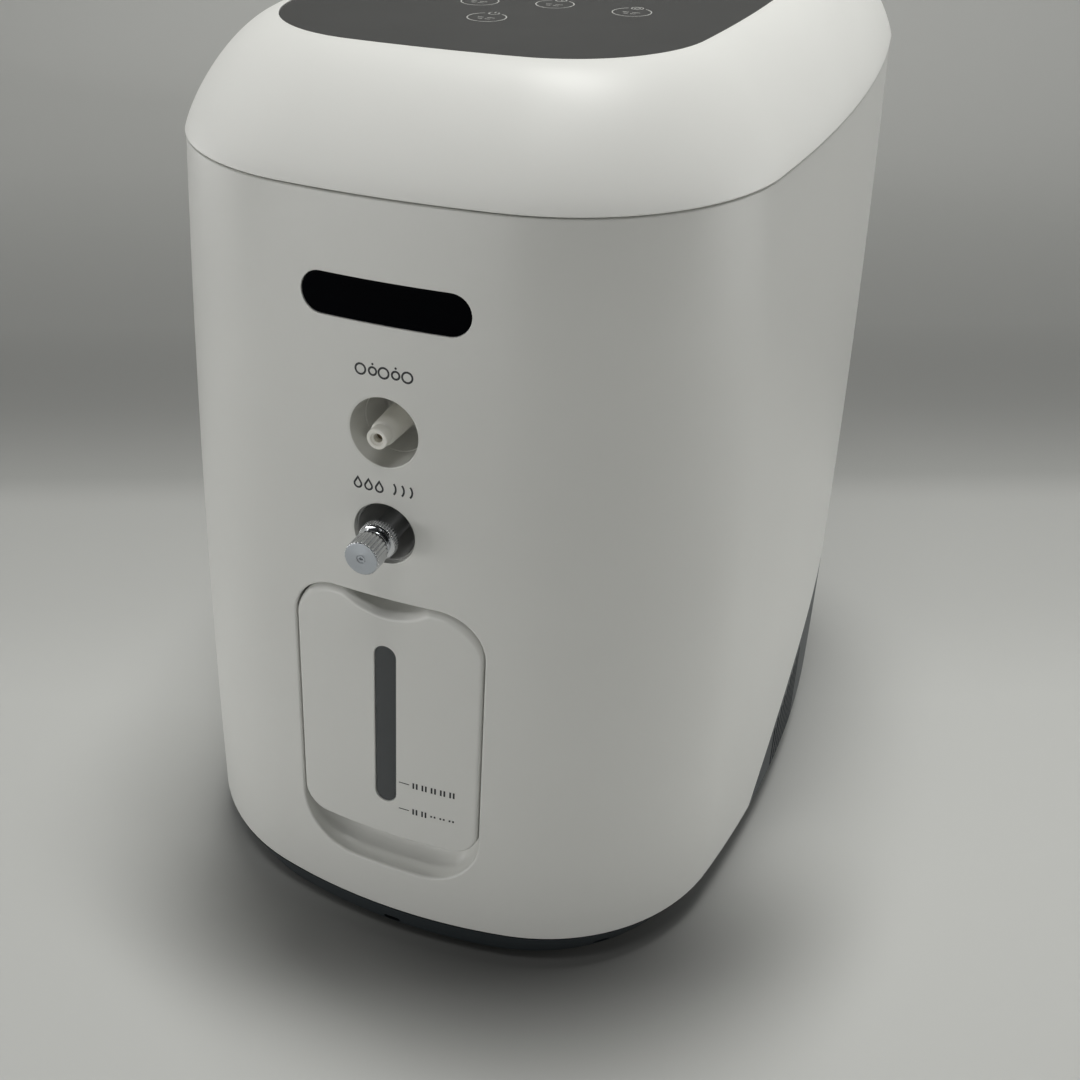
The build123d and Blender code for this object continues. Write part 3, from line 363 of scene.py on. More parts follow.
def line_points(a, b, spacing):
    count = max(1, int(hypot(b[0] - a[0], b[1] - a[1]) / spacing))
    return [(lerp(a[0], b[0], k / count), lerp(a[1], b[1], k / count)) for k in range(count)]


def corner_steps(radius):
    return max(6, int(radius * 1.57 / 0.9))


def rounded_loop(half_width, low_z, high_z, top_r, bottom_r, turns, spacings, top_edge=None):
    """Anticlockwise loop, seen with +x to the right and +z up. turns holds the steps of a top and a bottom corner,
    spacings those of the bottom, side and top edges. top_edge is the half width and the points of a middle part."""
    w = half_width
    flat, upright, top = spacings
    loop = line_points((-w + bottom_r, low_z), (w - bottom_r, low_z), flat)
    loop += arc_points(w - bottom_r, low_z + bottom_r, bottom_r, -pi / 2, 0, turns[1])
    loop += line_points((w, low_z + bottom_r), (w, high_z - top_r), upright)
    loop += arc_points(w - top_r, high_z - top_r, top_r, 0, pi / 2, turns[0])
    if top_edge:
        reach = top_edge[0]
        loop += line_points((w - top_r, high_z), (reach, high_z), top) + top_edge[1]
        loop += line_points((-reach, high_z), (-w + top_r, high_z), top)
    else:
        loop += line_points((w - top_r, high_z), (-w + top_r, high_z), top)
    loop += arc_points(-w + top_r, high_z - top_r, top_r, pi / 2, pi, turns[0])
    loop += line_points((-w, high_z - top_r), (-w, low_z + bottom_r), upright)
    loop += arc_points(-w + bottom_r, low_z + bottom_r, bottom_r, pi, 1.5 * pi, turns[1])
    return loop


def round_rect(half_width, low_z, high_z, top_r, bottom_r, spacing=1.5):
    turns = (corner_steps(top_r), corner_steps(bottom_r))
    return rounded_loop(half_width, low_z, high_z, top_r, bottom_r, turns, (spacing,) * 3)


def circle_loop(radius, z, count=96):
    return arc_points(0.0, z, radius, 0, 2 * pi, count)


def lathe(builder, profile, z0, count=96, follow=6.0):
    """A turned piece about a front-to-back axis at height z0. profile holds (radius, depth behind the front, normal
    along r, normal forward). Down to the depth follow, the piece still follows the barrel of the front."""
    rows = []
    base = front_y(0.0, z0)
    for radius, depth, out, forward in profile:
        row = []
        for k in range(count):
            turn = 2 * pi * k / count
            x, z = radius * cos(turn), z0 + radius * sin(turn)
            share = min(1.0, abs(depth) / follow) if follow else 1.0
            y = lerp(front_y(x, z), base, share) + depth
            row.append(builder.add((x, y, z), (out * cos(turn), -forward, out * sin(turn))))
        rows.append(row)
    builder.grid(rows, closed=True)


def profile_of(corners, steps=5):
    """Turns corners (radius, depth, rounding) into a lathe profile. Its normals point to the left of the walk."""
    dense = [corners[0][:2]]
    for before, corner, after in zip(corners, corners[1:], corners[2:]):
        x, y, r = corner
        ax, ay = before[0] - x, before[1] - y
        bx, by = after[0] - x, after[1] - y
        la, lb = hypot(ax, ay), hypot(bx, by)
        r = min(r, 0.45 * la, 0.45 * lb)
        if r < 1e-6:
            dense.append((x, y))
            continue
        pa = (x + ax / la * r, y + ay / la * r)
        pb = (x + bx / lb * r, y + by / lb * r)
        for k in range(steps + 1):
            t = k / steps
            qx = (1 - t) ** 2 * pa[0] + 2 * t * (1 - t) * x + t * t * pb[0]
            qy = (1 - t) ** 2 * pa[1] + 2 * t * (1 - t) * y + t * t * pb[1]
            dense.append((qx, qy))
    dense.append(corners[-1][:2])
    result = []
    for k, (radius, depth) in enumerate(dense):
        ax, ay = dense[max(0, k - 1)]
        bx, by = dense[min(len(dense) - 1, k + 1)]
        dx, dy = bx - ax, by - ay
        size = hypot(dx, dy) or 1.0
        result.append((radius, depth, dy / size, dx / size))
    return result


# ---------------------------------------------------------------- materials
def new_material(name, colour, roughness, metallic=0.0):
    material = bpy.data.materials.new(name)
    material.use_nodes = True
    shader = material.node_tree.nodes["Principled BSDF"]
    shader.inputs["Base Color"].default_value = (*colour, 1.0)
    shader.inputs["Roughness"].default_value = roughness
    shader.inputs["Metallic"].default_value = metallic
    return material, shader


def textured(material, shader, colour, roughness, grain, depth, tint=0.03, rough_share=0.25, stretch=(1, 1, 1)):
    """Object-space noise: a slight change of tone and gloss, and a fine surface grain."""
    nodes, links = material.node_tree.nodes, material.node_tree.links
    coord = nodes.new("ShaderNodeTexCoord")
    mapping = nodes.new("ShaderNodeMapping")
    mapping.inputs["Scale"].default_value = stretch
    links.new(coord.outputs["Object"], mapping.inputs["Vector"])

    def noise(scale, detail):
        node = nodes.new("ShaderNodeTexNoise")
        node.inputs["Scale"].default_value = scale
        node.inputs["Detail"].default_value = detail
        links.new(mapping.outputs["Vector"], node.inputs["Vector"])
        return node

    broad, fine = noise(9.0, 4.0), noise(grain, 3.0)
    tone = nodes.new("ShaderNodeValToRGB")
    for stop, position, factor in zip(tone.color_ramp.elements, (0.3, 0.7), (1 - tint, 1 + tint)):
        stop.position = position
        stop.color = (*[min(1.0, c * factor) for c in colour], 1)
    links.new(broad.outputs["Fac"], tone.inputs["Fac"])
    links.new(tone.outputs["Color"], shader.inputs["Base Color"])
    gloss = nodes.new("ShaderNodeMapRange")
    gloss.inputs["To Min"].default_value = roughness * (1 - rough_share)
    gloss.inputs["To Max"].default_value = roughness * (1 + rough_share)
    links.new(broad.outputs["Fac"], gloss.inputs["Value"])
    links.new(gloss.outputs["Result"], shader.inputs["Roughness"])
    bump = nodes.new("ShaderNodeBump")
    bump.inputs["Strength"].default_value = 1.0
    bump.inputs["Distance"].default_value = depth
    links.new(fine.outputs["Fac"], bump.inputs["Height"])
    links.new(bump.outputs["Normal"], shader.inputs["Normal"])


def plastic(name, colour, roughness, grain=1800.0, depth=4e-6, coat=0.0, coat_rough=0.15, tint=0.02, subsurface=0.0):
    material, shader = new_material(name, colour, roughness)
    textured(material, shader, colour, roughness, grain, depth, tint)
    shader.inputs["Coat Weight"].default_value = coat
    shader.inputs["Coat Roughness"].default_value = coat_rough
    shader.inputs["Subsurface Weight"].default_value = subsurface
    shader.inputs["Subsurface Radius"].default_value = (0.004, 0.004, 0.004)
    shader.inputs["Subsurface Scale"].default_value = 0.5
    return material


def metal(name, colour, roughness, grain=900.0, depth=3e-6, stretch=(1, 1, 1)):
    material, shader = new_material(name, colour, roughness, 1.0)
    textured(material, shader, colour, roughness, grain, depth, 0.05, 0.35, stretch)
    return material


def clear(name, colour, roughness, transmission):
    material, shader = new_material(name, colour, roughness)
    textured(material, shader, colour, roughness, 1200.0, 2e-6, 0.02)
    shader.inputs["Transmission Weight"].default_value = transmission
    shader.inputs["IOR"].default_value = 1.49
    return material


# material slots of the record; grain depths are in metres
MATERIALS = {
    "white_shell": plastic("white_shell_plastic", (0.80, 0.80, 0.775), 0.34, 1500.0, 3.5e-6, 0.25, 0.22),
    "white_cap": plastic("white_cap_plastic", (0.94, 0.94, 0.915), 0.46, 1100.0, 3e-6, 0.12, 0.5),
    "port_white": plastic("white_port_plastic", (0.82, 0.82, 0.79), 0.2, 1500.0, 2e-6, 0.5, 0.08),
    "spigot_white": plastic("spigot_nylon", (0.92, 0.90, 0.84), 0.36, 1500.0, 3e-6, 0.0, 0.2, 0.02, 0.2),
    "dark_base": plastic("dark_base_plastic", (0.028, 0.036, 0.042), 0.5, 2600.0, 1e-5),
    "touch_glass": plastic("touch_glass", (0.024, 0.024, 0.0245), 0.4, 700.0, 1.5e-6),
    "display_black": plastic("display_black", (0.0011, 0.0013, 0.0022), 0.12, 700.0, 1e-6),
    "smoke_window": clear("smoke_window", (0.13, 0.14, 0.15), 0.12, 0.55),
    "tank_clear": clear("tank_clear", (0.80, 0.84, 0.86), 0.08, 0.85),
    "black_plastic": plastic("black_plastic", (0.014, 0.014, 0.015), 0.45, 2400.0, 1e-5),
    "foot_rubber": plastic("foot_rubber", (0.02, 0.02, 0.02), 0.75, 900.0, 3e-5),
    "seal_rubber": plastic("seal_rubber", (0.55, 0.55, 0.53), 0.6, 900.0, 1e-5),
    "foam_grey": plastic("foam_grey", (0.05, 0.05, 0.055), 0.95, 500.0, 6e-4),
    "tank_grey": plastic("tank_grey", (0.34, 0.35, 0.36), 0.45),
    "valve_blue": plastic("valve_blue", (0.02, 0.05, 0.16), 0.4),
    "board_green": plastic("board_green", (0.006, 0.06, 0.018), 0.35),
    "parts_dark": plastic("parts_dark", (0.012, 0.012, 0.014), 0.4),
    "piston_black": plastic("piston_black", (0.02, 0.02, 0.02), 0.35),
    "hose_silicone": plastic("hose_silicone", (0.62, 0.62, 0.59), 0.4, 900.0, 4e-6, 0.0, 0.2, 0.03, 0.4),
    "chrome": metal("chrome_plate", (0.66, 0.67, 0.69), 0.09, 500.0, 1e-6),
    "screw_steel": metal("screw_steel", (0.36, 0.36, 0.37), 0.35),
    "sheet_steel": metal("sheet_steel", (0.45, 0.45, 0.46), 0.4, 300.0, 8e-6),
    "cast_aluminium": metal("cast_aluminium", (0.5, 0.5, 0.51), 0.5, 700.0, 3e-5),
    "core_steel": metal("core_steel", (0.16, 0.16, 0.17), 0.5, 2200.0, 2e-5, (1, 0.05, 0.05)),
    "copper": metal("copper_wire", (0.55, 0.24, 0.10), 0.35, 900.0, 3e-5, (0.2, 1, 1)),
    "bed_aluminium": metal("bed_aluminium", (0.6, 0.6, 0.61), 0.35, 600.0, 6e-6, (1, 1, 0.05)),
}
display_shader = MATERIALS["display_black"].node_tree.nodes["Principled BSDF"]
display_shader.inputs["Specular IOR Level"].default_value = 0.02

# further looks of the visible pieces; bore_shade, gap_shade and water_shade are painted shade
BORE_SHADE = plastic("bore_shade", (0.20, 0.15, 0.09), 0.6)
GAP_SHADE = plastic("gap_shade", (0.02, 0.02, 0.02), 0.8)
MARK_INK = plastic("mark_ink", (0.018, 0.019, 0.023), 0.5)
ICON_INK = plastic("icon_ink", (0.62, 0.62, 0.60), 0.5)
SOCKET = plastic("socket_plate", (0.46, 0.46, 0.45), 0.16, 1500.0, 2e-6, 0.8, 0.06)
TURNED_FACE = metal("chrome_turned_face", (0.47, 0.50, 0.54), 0.34, 900.0, 2e-6)
TANK_INSIDE_PAINTED_SHADE = plastic("water_shade", (0.035, 0.038, 0.042), 0.25, 600.0, 4e-6, 0.3, 0.1)

for part in frame["record"]["subparts"]:
    slots = frame["nodes"][part["node"]].data.materials
    if len(slots) == 0:
        slots.append(None)
    for index in range(len(slots)):
        slots[index] = MATERIALS[part["material_slot"]]


# ---------------------------------------------------------------- white shell
# The front and the back are flat-meshed patches out to PATCH_X. Columns of the side run between them.
PATCH_X = 54.0
PATCH_SPACING = 3.0
FRONT_SPACING, BACK_SPACING = 4.0, 4.5
ROWS = 64
COLUMNS_BEFORE_ARCH, COLUMNS_OF_ARCH = 44, 76
EDGE = 0.6
BACK_EDGE_Z = arch_z(SEAM_OUTLINE[2])


def patch_rows(low_z):
    return [lerp(low_z + EDGE, CAP_SEAM_Z - EDGE, k / ROWS) for k in range(ROWS + 1)]


def side_point(share, z):
    """The point of the right side at a share of the way round from the front patch to the back patch."""
    arcs = arcs_of(shell_outline(z))
    start = length_to_x(arcs, PATCH_X)
    return at_length(arcs, start + share * (half_length(arcs) - 2 * start))


def side_normal(share, z):
    step, climb = 0.002, 0.5
    ax, ay = side_point(max(0.0, share - step), z)
    bx, by = side_point(min(1.0, share + step), z)
    lx, ly = side_point(share, z - climb)
    hx, hy = side_point(share, z + climb)
    along = Vector((bx - ax, by - ay, 0))
    rise = Vector((hx - lx, hy - ly, 2 * climb))
    return along.cross(rise).normalized()


def patch_loop(low_z):
    rows = patch_rows(low_z)
    loop = line_points((-PATCH_X, rows[0]), (PATCH_X, rows[0]), PATCH_SPACING)
    loop += [(PATCH_X, z) for z in rows[:-1]]
    loop += line_points((PATCH_X, rows[-1]), (-PATCH_X, rows[-1]), PATCH_SPACING)
    loop += [(-PATCH_X, z) for z in reversed(rows[1:])]
    return loop


def slot_loop(half_width, half_height, z, spacing, radius=None):
    corner = radius or half_height
    return round_rect(half_width, z - half_height, z + half_height, corner, corner, spacing)


# one outline round the humidifier cover and the scoop below it
OPENING = round_rect(COVER_HALF_WIDTH + COVER_GAP, RECESS_BOTTOM_Z, COVER_TOP_Z + COVER_GAP, 15.5, 20.0, 1.2)
LIP = 0.9
DISPLAY_SLOT = slot_loop(DISPLAY_HALF[0] + 0.1, DISPLAY_HALF[1] + 0.1, DISPLAY_Z, 1.2)
OXYGEN_HOLE = circle_loop(OXYGEN_WELL_RADIUS, OXYGEN_Z)
ATOMIZER_HOLE = circle_loop(ATOMIZER_WELL_RADIUS, ATOMIZER_Z)
GRIP_HOLE = slot_loop(50.1, 15.1, 232.0, 1.5, 12.1)
FILTER_HOLE = slot_loop(42.3, 32.3, 150.0, 1.5, 10.3)


def arch_start_share():
    """Where along the side the arch starts, so that a column of the mesh lies there."""
    low, high = 0.0, 1.0
    for _ in range(40):
        middle = (low + high) / 2
        if side_point(middle, BASE_SEAM_Z + EDGE)[1] < BODY_Y + ARCH_START:
            low = middle
        else:
            high = middle
    return low


def build_shell():
    made = Builder()
    front_holes = [(OPENING, LIP), (DISPLAY_SLOT, 0.35), (OXYGEN_HOLE, 0.03), (ATOMIZER_HOLE, 0.03)]
    back_holes = [(GRIP_HOLE, 0.5), (FILTER_HOLE, 0.5)]
    filled(made, patch_loop(BASE_SEAM_Z), [moved_loop(h, r) for h, r in front_holes], front_y, -1, FRONT_SPACING)
    filled(made, patch_loop(BACK_EDGE_Z), [moved_loop(h, r) for h, r in back_holes], back_y, 1, BACK_SPACING)
    for hole, radius in front_holes[1:]:
        rolled(made, hole, radius, WALL, front_y, -1, False)
    for hole, radius in back_holes:
        rolled(made, hole, radius, WALL, back_y, 1, False)
    build_scoop(made)

    kink = arch_start_share()
    shares = [kink * k / COLUMNS_BEFORE_ARCH for k in range(COLUMNS_BEFORE_ARCH)]
    shares += [kink + (1 - kink) * k / COLUMNS_OF_ARCH for k in range(COLUMNS_OF_ARCH + 1)]
    bottoms = []
    for share in shares:
        low_z = BASE_SEAM_Z + EDGE
        for _ in range(8):
            low_z = arch_z(side_point(share, low_z)[1]) + EDGE
        bottoms.append(low_z)
    top = CAP_SEAM_Z - EDGE
    for mirror in (1, -1):
        columns = []
        for share, low_z in zip(shares, bottoms):
            column = []
            for z in (lerp(low_z, top, k / ROWS) for k in range(ROWS + 1)):
                x, y = side_point(share, z)
                n = side_normal(share, z)
                column.append(made.add((mirror * x, y, z), (mirror * n.x, n.y, n.z)))
            columns.append(column)
        made.grid(columns)

    def rim(front_z, side_heights, back_z):
        across = [x for x, _ in line_points((-PATCH_X, 0), (PATCH_X, 0), PATCH_SPACING)][1:]
        front = [(x, front_y(x, front_z), front_z) for x in across]
        right = [(*side_point(s, z), z) for s, z in zip(shares, side_heights)]
        behind = [(-x, back_y(x, back_z), back_z) for x in across]
        return front + right + behind + [(-x, y, z) for x, y, z in reversed(right)]

    edge_strip(made, rim(BASE_SEAM_Z + EDGE, bottoms, BACK_EDGE_Z + EDGE), -1)
    edge_strip(made, rim(top, [top] * len(shares), top), 1)
    return made.mesh("white_shell", MATERIALS["white_shell"])


def edge_strip(made, line, way, inward=1.9, steps=5):
    """Rounds a closed edge over and runs it into the wall; way is -1 for a lower edge and 1 for an upper one."""
    count = len(line)
    rows = [[] for _ in range(steps + 2)]
    for k in range(count):
        before, after = Vector(line[k - 1]), Vector(line[(k + 1) % count])
        along = (after - before).normalized()
        flat = Vector((along.x, along.y, 0)).normalized()
        out = Vector((flat.y, -flat.x, 0))
        down = out.cross(along).normalized() * -way
        if down.z * way < 0:
            down = -down
        point = Vector(line[k])
        for step in range(steps + 2):
            turn = min(1.0, step / steps) * pi / 2
            p = point + down * (EDGE * sin(turn)) - out * (EDGE * (1 - cos(turn)))
            if step > steps:
                p = p - out * inward
            rows[step].append(made.add(p, out * cos(turn) + down * sin(turn)))
    made.grid(rows, closed=True)


def build_scoop(made):
    """The opening's rounded edge, its walls, and the scooped floor under the humidifier's lower end."""
    steps, walls = 5, 9
    scoop_width, scoop_depth = 16.0, 11.0
    scoop_full_z, scoop_gone_z = 40.0, 57.0
    normals = loop_normals(OPENING)
    rows = [[] for _ in range(steps + walls + 1)]
    for (x, z), (nx, nz) in zip(OPENING, normals):
        face = surface_normal(front_y, x + nx * LIP, z + nz * LIP, -1)
        lip_y = front_y(x, z) + LIP
        low = 1 - smoothstep(scoop_full_z, scoop_gone_z, z)
        width = scoop_width * low
        depth = lerp(BAY_FRONT_Y - lip_y, scoop_depth, low)
        for step in range(steps + 1):
            turn = step / steps * pi / 2
            out = LIP * (1 - sin(turn))
            px, pz = x + nx * out, z + nz * out
            y = front_y(px, pz) + LIP * (1 - cos(turn))
            rows[step].append(made.add((px, y, pz), face * cos(turn) - Vector((nx, 0, nz)) * sin(turn)))
        for step in range(1, walls + 1):
            turn = step / walls * pi / 2
            share = 1 - cos(turn)
            px, pz = x - nx * width * share, z - nz * width * share
            y = lip_y + depth * (sin(turn) if low > 0.02 else step / walls)
            tilt_in, tilt_y = width * sin(turn), depth * cos(turn)
            size = hypot(tilt_in, tilt_y) or 1.0
            n = Vector((-nx * tilt_y / size, -tilt_in / size, -nz * tilt_y / size))
            rows[steps + step].append(made.add((px, y, pz), n))
    made.grid(rows, closed=True)


place(build_shell(), "housing", "white_shell", "body_shell")


# ---------------------------------------------------------------- top cap and touch panel
PANEL_SINK = 0.35
OUTLINE_STEPS = (34, 30, 60, 30, 34)


def outline_loop(outline):
    """Closed list of (x, y, nx, ny) round a plan outline, going right from the front's middle."""
    right = []
    for (cx, cy, r, start, end), count in zip(arcs_of(outline), OUTLINE_STEPS):
        for k in range(count):
            angle = lerp(start, end, k / count)
            right.append((cx + r * cos(angle), cy + r * sin(angle), cos(angle), sin(angle)))
    left = [(-x, y, -nx, ny) for x, y, nx, ny in reversed(right[1:])]
    back = (0.0, outline[2], 0.0, 1.0)
    return right + [back] + left


def rolled_ring(made, outline, edge_z, radius, inward_of, drop_of, normal_of, run_in=0.0, run_down=0.0):
    """A rounded edge round a plan outline, and one more row that runs on by run_in or run_down."""
    rows = []
    for step in range(7):
        turn = min(1.0, step / 5) * pi / 2
        last = step == 6
        inward = radius * inward_of(turn) + (run_in if last else 0.0)
        z = edge_z - radius * drop_of(turn) - (run_down if last else 0.0)
        out, rise = normal_of(turn)
        row = [(x - nx * inward, y - ny * inward, nx * out, ny * out) for x, y, nx, ny in outline_loop(outline)]
        rows.append([made.add((x, y, z), (nx, ny, rise)) for x, y, nx, ny in row])
    made.grid(rows, closed=True)


def build_cap():
    made = Builder()
    roll = 0.5
    low = CAP_SEAM_Z + SEAM_GAP + roll
    rows = []
    heights = [lerp(low, PANEL_Z, sin(pi / 2 * k / 40)) for k in range(41)]
    for k, z in enumerate(heights):
        near_z = heights[k - 1] if k else z + 0.2
        loop, other = outline_loop(cap_outline(z)), outline_loop(cap_outline(near_z))
        row = []
        for (x, y, nx, ny), (ox, oy, _, _) in zip(loop, other):
            run = (x - ox) * nx + (y - oy) * ny
            climb = z - near_z
            if k == len(heights) - 1:
                run, climb = -1.0, 0.02
            size = hypot(run, climb) or 1.0
            if climb < 0:
                run, climb = -run, -climb
            row.append(made.add((x, y, z), (nx * climb / size, ny * climb / size, -run / size)))
        rows.append(row)
    made.grid(rows, closed=True)

    # the lower edge rounds under and runs in; the upper edge rolls down to the touch panel
    rolled_ring(made, cap_outline(low), low, roll, lambda t: 1 - cos(t), sin, lambda t: (cos(t), -sin(t)), run_in=2.4)
    rolled_ring(
        made, PANEL_OUTLINE, PANEL_Z, 0.22, sin, lambda t: 1 - cos(t), lambda t: (-sin(t), cos(t)), run_down=1.2
    )
    return made.mesh("top_cap_dome", MATERIALS["white_cap"])


place(build_cap(), "housing", "white_cap", "top_cap")


def build_seam_painted_shade():
    """A ring of painted shade behind the thin seam between shell and cap."""
    made = Builder()
    behind = 1.7
    loop = [(x - nx * behind, y - ny * behind, nx, ny) for x, y, nx, ny in outline_loop(SEAM_OUTLINE)]
    rows = [[made.add((x, y, z), (nx, ny, 0)) for x, y, nx, ny in loop] for z in (CAP_SEAM_Z - 4, CAP_SEAM_Z + 5)]
    made.grid(rows, closed=True)
    return made.mesh("seam_painted_shade", GAP_SHADE)


place(build_seam_painted_shade(), "housing", "white_cap")


def build_touch_panel():
    made = Builder()
    top = PANEL_Z - PANEL_SINK
    gap, roll = 0.34, 0.25

    def ring(inward, z, out, rise, share=1.0):
        loop = outline_loop(inset(PANEL_OUTLINE, inward))
        return [made.add((x * share, lerp(middle, y, share), z), (nx * out, ny * out, rise)) for x, y, nx, ny in loop]

    middle = (PANEL_OUTLINE[1] + PANEL_OUTLINE[2]) / 2
    turns = [step / 4 * pi / 2 for step in range(5)]
    rows = [ring(gap, top - 3.0, 1, 0)]
    rows += [ring(gap + roll * (1 - cos(t)), top - roll + roll * sin(t), cos(t), sin(t)) for t in turns]
    rows += [ring(gap + roll, top, 0, 1, share) for share in (0.97, 0.9, 0.75, 0.5, 0.25)]
    made.grid(rows, closed=True)
    centre = made.add((0, middle, top), (0, 0, 1))
    inner = rows[-1]
    for k in range(len(inner)):
        made.face((inner[k], inner[(k + 1) % len(inner)], centre))
    return made.mesh("touch_panel_glass", MATERIALS["touch_glass"])


place(build_touch_panel(), "housing", "touch_glass", "touch_panel")


# ---------------------------------------------------------------- printed marks
def ribbon(made, path, width, lift, closed=False):
    """A printed line of one width along a path; lift maps a flat point to a point and a normal."""
    count = len(path)
    rows = [[], []]
    for k in range(count):
        ax, az = path[k - 1] if (k or closed) else path[k]
        bx, bz = path[(k + 1) % count] if (k < count - 1 or closed) else path[k]
        dx, dz = bx - ax, bz - az
        size = hypot(dx, dz) or 1.0
        px, pz = -dz / size * width / 2, dx / size * width / 2
        for row, sign in zip(rows, (1, -1)):
            point, normal = lift(path[k][0] + sign * px, path[k][1] + sign * pz)
            row.append(made.add(point, normal))
    made.grid(rows, closed=closed)


def circle(made, x, z, radius, width, lift):
    ribbon(made, arc_points(x, z, radius, 0, 2 * pi, 32), width, lift, True)


def dot(made, x, z, radius, lift, count=28):
    centre = made.add(*lift(x, z))
    ring = [made.add(*lift(px, pz)) for px, pz in arc_points(x, z, radius, 0, 2 * pi, count)]
    for k in range(count):
        made.face((centre, ring[k], ring[(k + 1) % count]))


INK_LIFT = 0.03


def on_front(x, z):
    n = surface_normal(front_y, x, z, -1)
    return (x + n.x * INK_LIFT, front_y(x, z) - INK_LIFT, z), n


def on_panel(x, y):
    return (x, y, PANEL_Z - PANEL_SINK + INK_LIFT), Vector((0, 0, 1))


def arc_path(cx, cz, r, start, end, count=24):
    """An arc from angle start to angle end, in degrees, with both its ends."""
    angles = [lerp(radians(start), radians(end), k / count) for k in range(count + 1)]
    return [(cx + r * cos(a), cz + r * sin(a)) for a in angles]


def droplet(cx, cz, r):
    """A drop outline: round below, drawn to a point above."""
    path = arc_path(cx, cz, r, 150, 390)
    return path + [(cx + 0.25 * r, cz + 1.5 * r), (cx, cz + 2.1 * r), (cx - 0.25 * r, cz + 1.5 * r)]


def build_front_marks():
    """Bubbles over the oxygen outlet, and drops with a fan of mist over the atomizer outlet."""
    made = Builder()
    ink = 0.6
    z = OXYGEN_Z + 18.3
    for x, r in ((-7.0, 1.55), (-3.2, 1.15), (0.2, 1.55), (3.9, 1.15), (7.4, 1.55)):
        circle(made, x, z, r, ink, on_front)
    for x in (-3.2, 3.9):
        dot(made, x, z + 2.1, 0.35, on_front)
    z = ATOMIZER_Z + 15.7
    for x in (-8.4, -4.9, -1.4):
        ribbon(made, droplet(x, z - 0.8, 1.15), ink, on_front, True)
    for x in (1.3, 3.9, 6.5):
        ribbon(made, arc_path(x, z, 2.6, -42, 42, 14), ink, on_front)
    return made.mesh("front_marks", MARK_INK)


def build_level_marks():
    """A dash for each water level and a row of five pairs of bars: all tall for the upper, two for the lower."""
    made = Builder()
    dash_ink, bar_ink = 0.36, 0.62
    for z, tall in ((73.6, 5), (62.4, 2)):
        ribbon(made, [(4.9, z), (8.6, z)], dash_ink, on_front)
        for k in range(5):
            reach = 1.2 if k < tall else 0.4
            for x in (10.1 + 3.2 * k, 11.3 + 3.2 * k):
                ribbon(made, [(x, z - reach), (x, z + reach)], bar_ink, on_front)
    return made.mesh("level_marks", MARK_INK)


def build_key_icons():
    """Touch keys: an open ring each, with a small symbol in the gap and simple strokes inside."""
    made = Builder()
    ink, ring_radius = 0.34, 5.6
    keys = ((-1.2, -71.9, "power"), (10.4, -47.8, "clock"), (34.4, -49.2, "flow"), (-11.4, -52.8, "lamp"))
    for x, y_from_middle, kind in keys:
        y = BODY_Y + y_from_middle
        top = y + ring_radius - 0.2
        ribbon(made, arc_path(x, y, ring_radius, 118, 422, 60), ink, on_panel)
        if kind == "power":
            ribbon(made, arc_path(x, top, 1.5, 130, 410, 28), ink, on_panel)
            ribbon(made, [(x, top + 0.2), (x, top + 2.0)], ink, on_panel)
        elif kind == "clock":
            circle(made, x, top, 1.6, ink, on_panel)
            ribbon(made, [(x, top + 1.0), (x, top), (x + 0.8, top)], ink * 0.8, on_panel)
        elif kind == "flow":
            circle(made, x, top, 0.8, ink * 0.9, on_panel)
            circle(made, x, top, 1.7, ink * 0.9, on_panel)
        else:
            dot(made, x, top, 1.2, on_panel)
        for half, stroke_y in ((2.6, y - 0.4), (1.9, y - 2.1)):
            for start, end in ((-1.0, -0.3), (0.1, 1.0)):
                ribbon(made, [(x + half * start, stroke_y), (x + half * end, stroke_y)], ink * 1.2, on_panel)
    return made.mesh("key_icons", ICON_INK)


place(build_front_marks(), "housing", "white_shell")
place(build_level_marks(), "water_tank", "white_shell")
place(build_key_icons(), "housing", "touch_glass")


# ---------------------------------------------------------------- display window
def build_display():
    made = Builder()
    loop = slot_loop(*DISPLAY_HALF, DISPLAY_Z, 1.2)
    sink, roll = 0.2, 0.35

    def face(x, z):
        return front_y(x, z) + sink

    filled(made, moved_loop(loop, -roll), [], face, -1, 2.5)
    rolled(made, loop, roll, 2.2, face, -1, True)
    return made.mesh("display_pane", MATERIALS["display_black"])


place(build_display(), "housing", "display_black", "display_window")


# ---------------------------------------------------------------- outlets
# Profiles are corners (radius, depth, rounding); a negative depth stands in front of the shell.
WELL_DEPTH = 21.0
BORE_RADIUS = 1.3
SPIGOT_TIP = -4.2
THREAD_TIP = -12.1
KNOB_FACE = -14.9


def turned(name, corners, z, material, steps=5, count=96, follow=6.0):
    made = Builder()
    profile = [(r, depth, -out, -forward) for r, depth, out, forward in profile_of(corners, steps)]
    lathe(made, profile, z, count, follow)
    return made.mesh(name, material)


def cup_corners(well_radius):
    """A rim that rolls in from the front, a wall with a small step, and a rounded floor."""
    wall = well_radius - 0.75
    return [
        (well_radius + 0.02, 0.3, 0), (well_radius + 0.02, 0.0, 0.02), (wall, 0.0, 1.1), (wall - 0.5, 9.0, 0.2),
        (wall - 0.7, 9.2, 0.2), (wall - 0.95, WELL_DEPTH, 1.8), (4.25, WELL_DEPTH, 0),
    ]


def spigot_corners():
    """A stem that steps down to the land of the tip, and the bore's mouth."""
    tip = SPIGOT_TIP
    return [
        (7.0, WELL_DEPTH, 0), (4.7, WELL_DEPTH, 1.4), (4.2, tip + 14.0, 2.0), (3.8, tip + 3.9, 0.45),
        (3.2, tip + 3.4, 0.2), (3.2, tip, 0.4), (2.1, tip, 0.15), (1.8, tip + 0.5, 0.2), (1.4, tip + 0.8, 0.1),
        (BORE_RADIUS, tip + 10.0, 0),
    ]


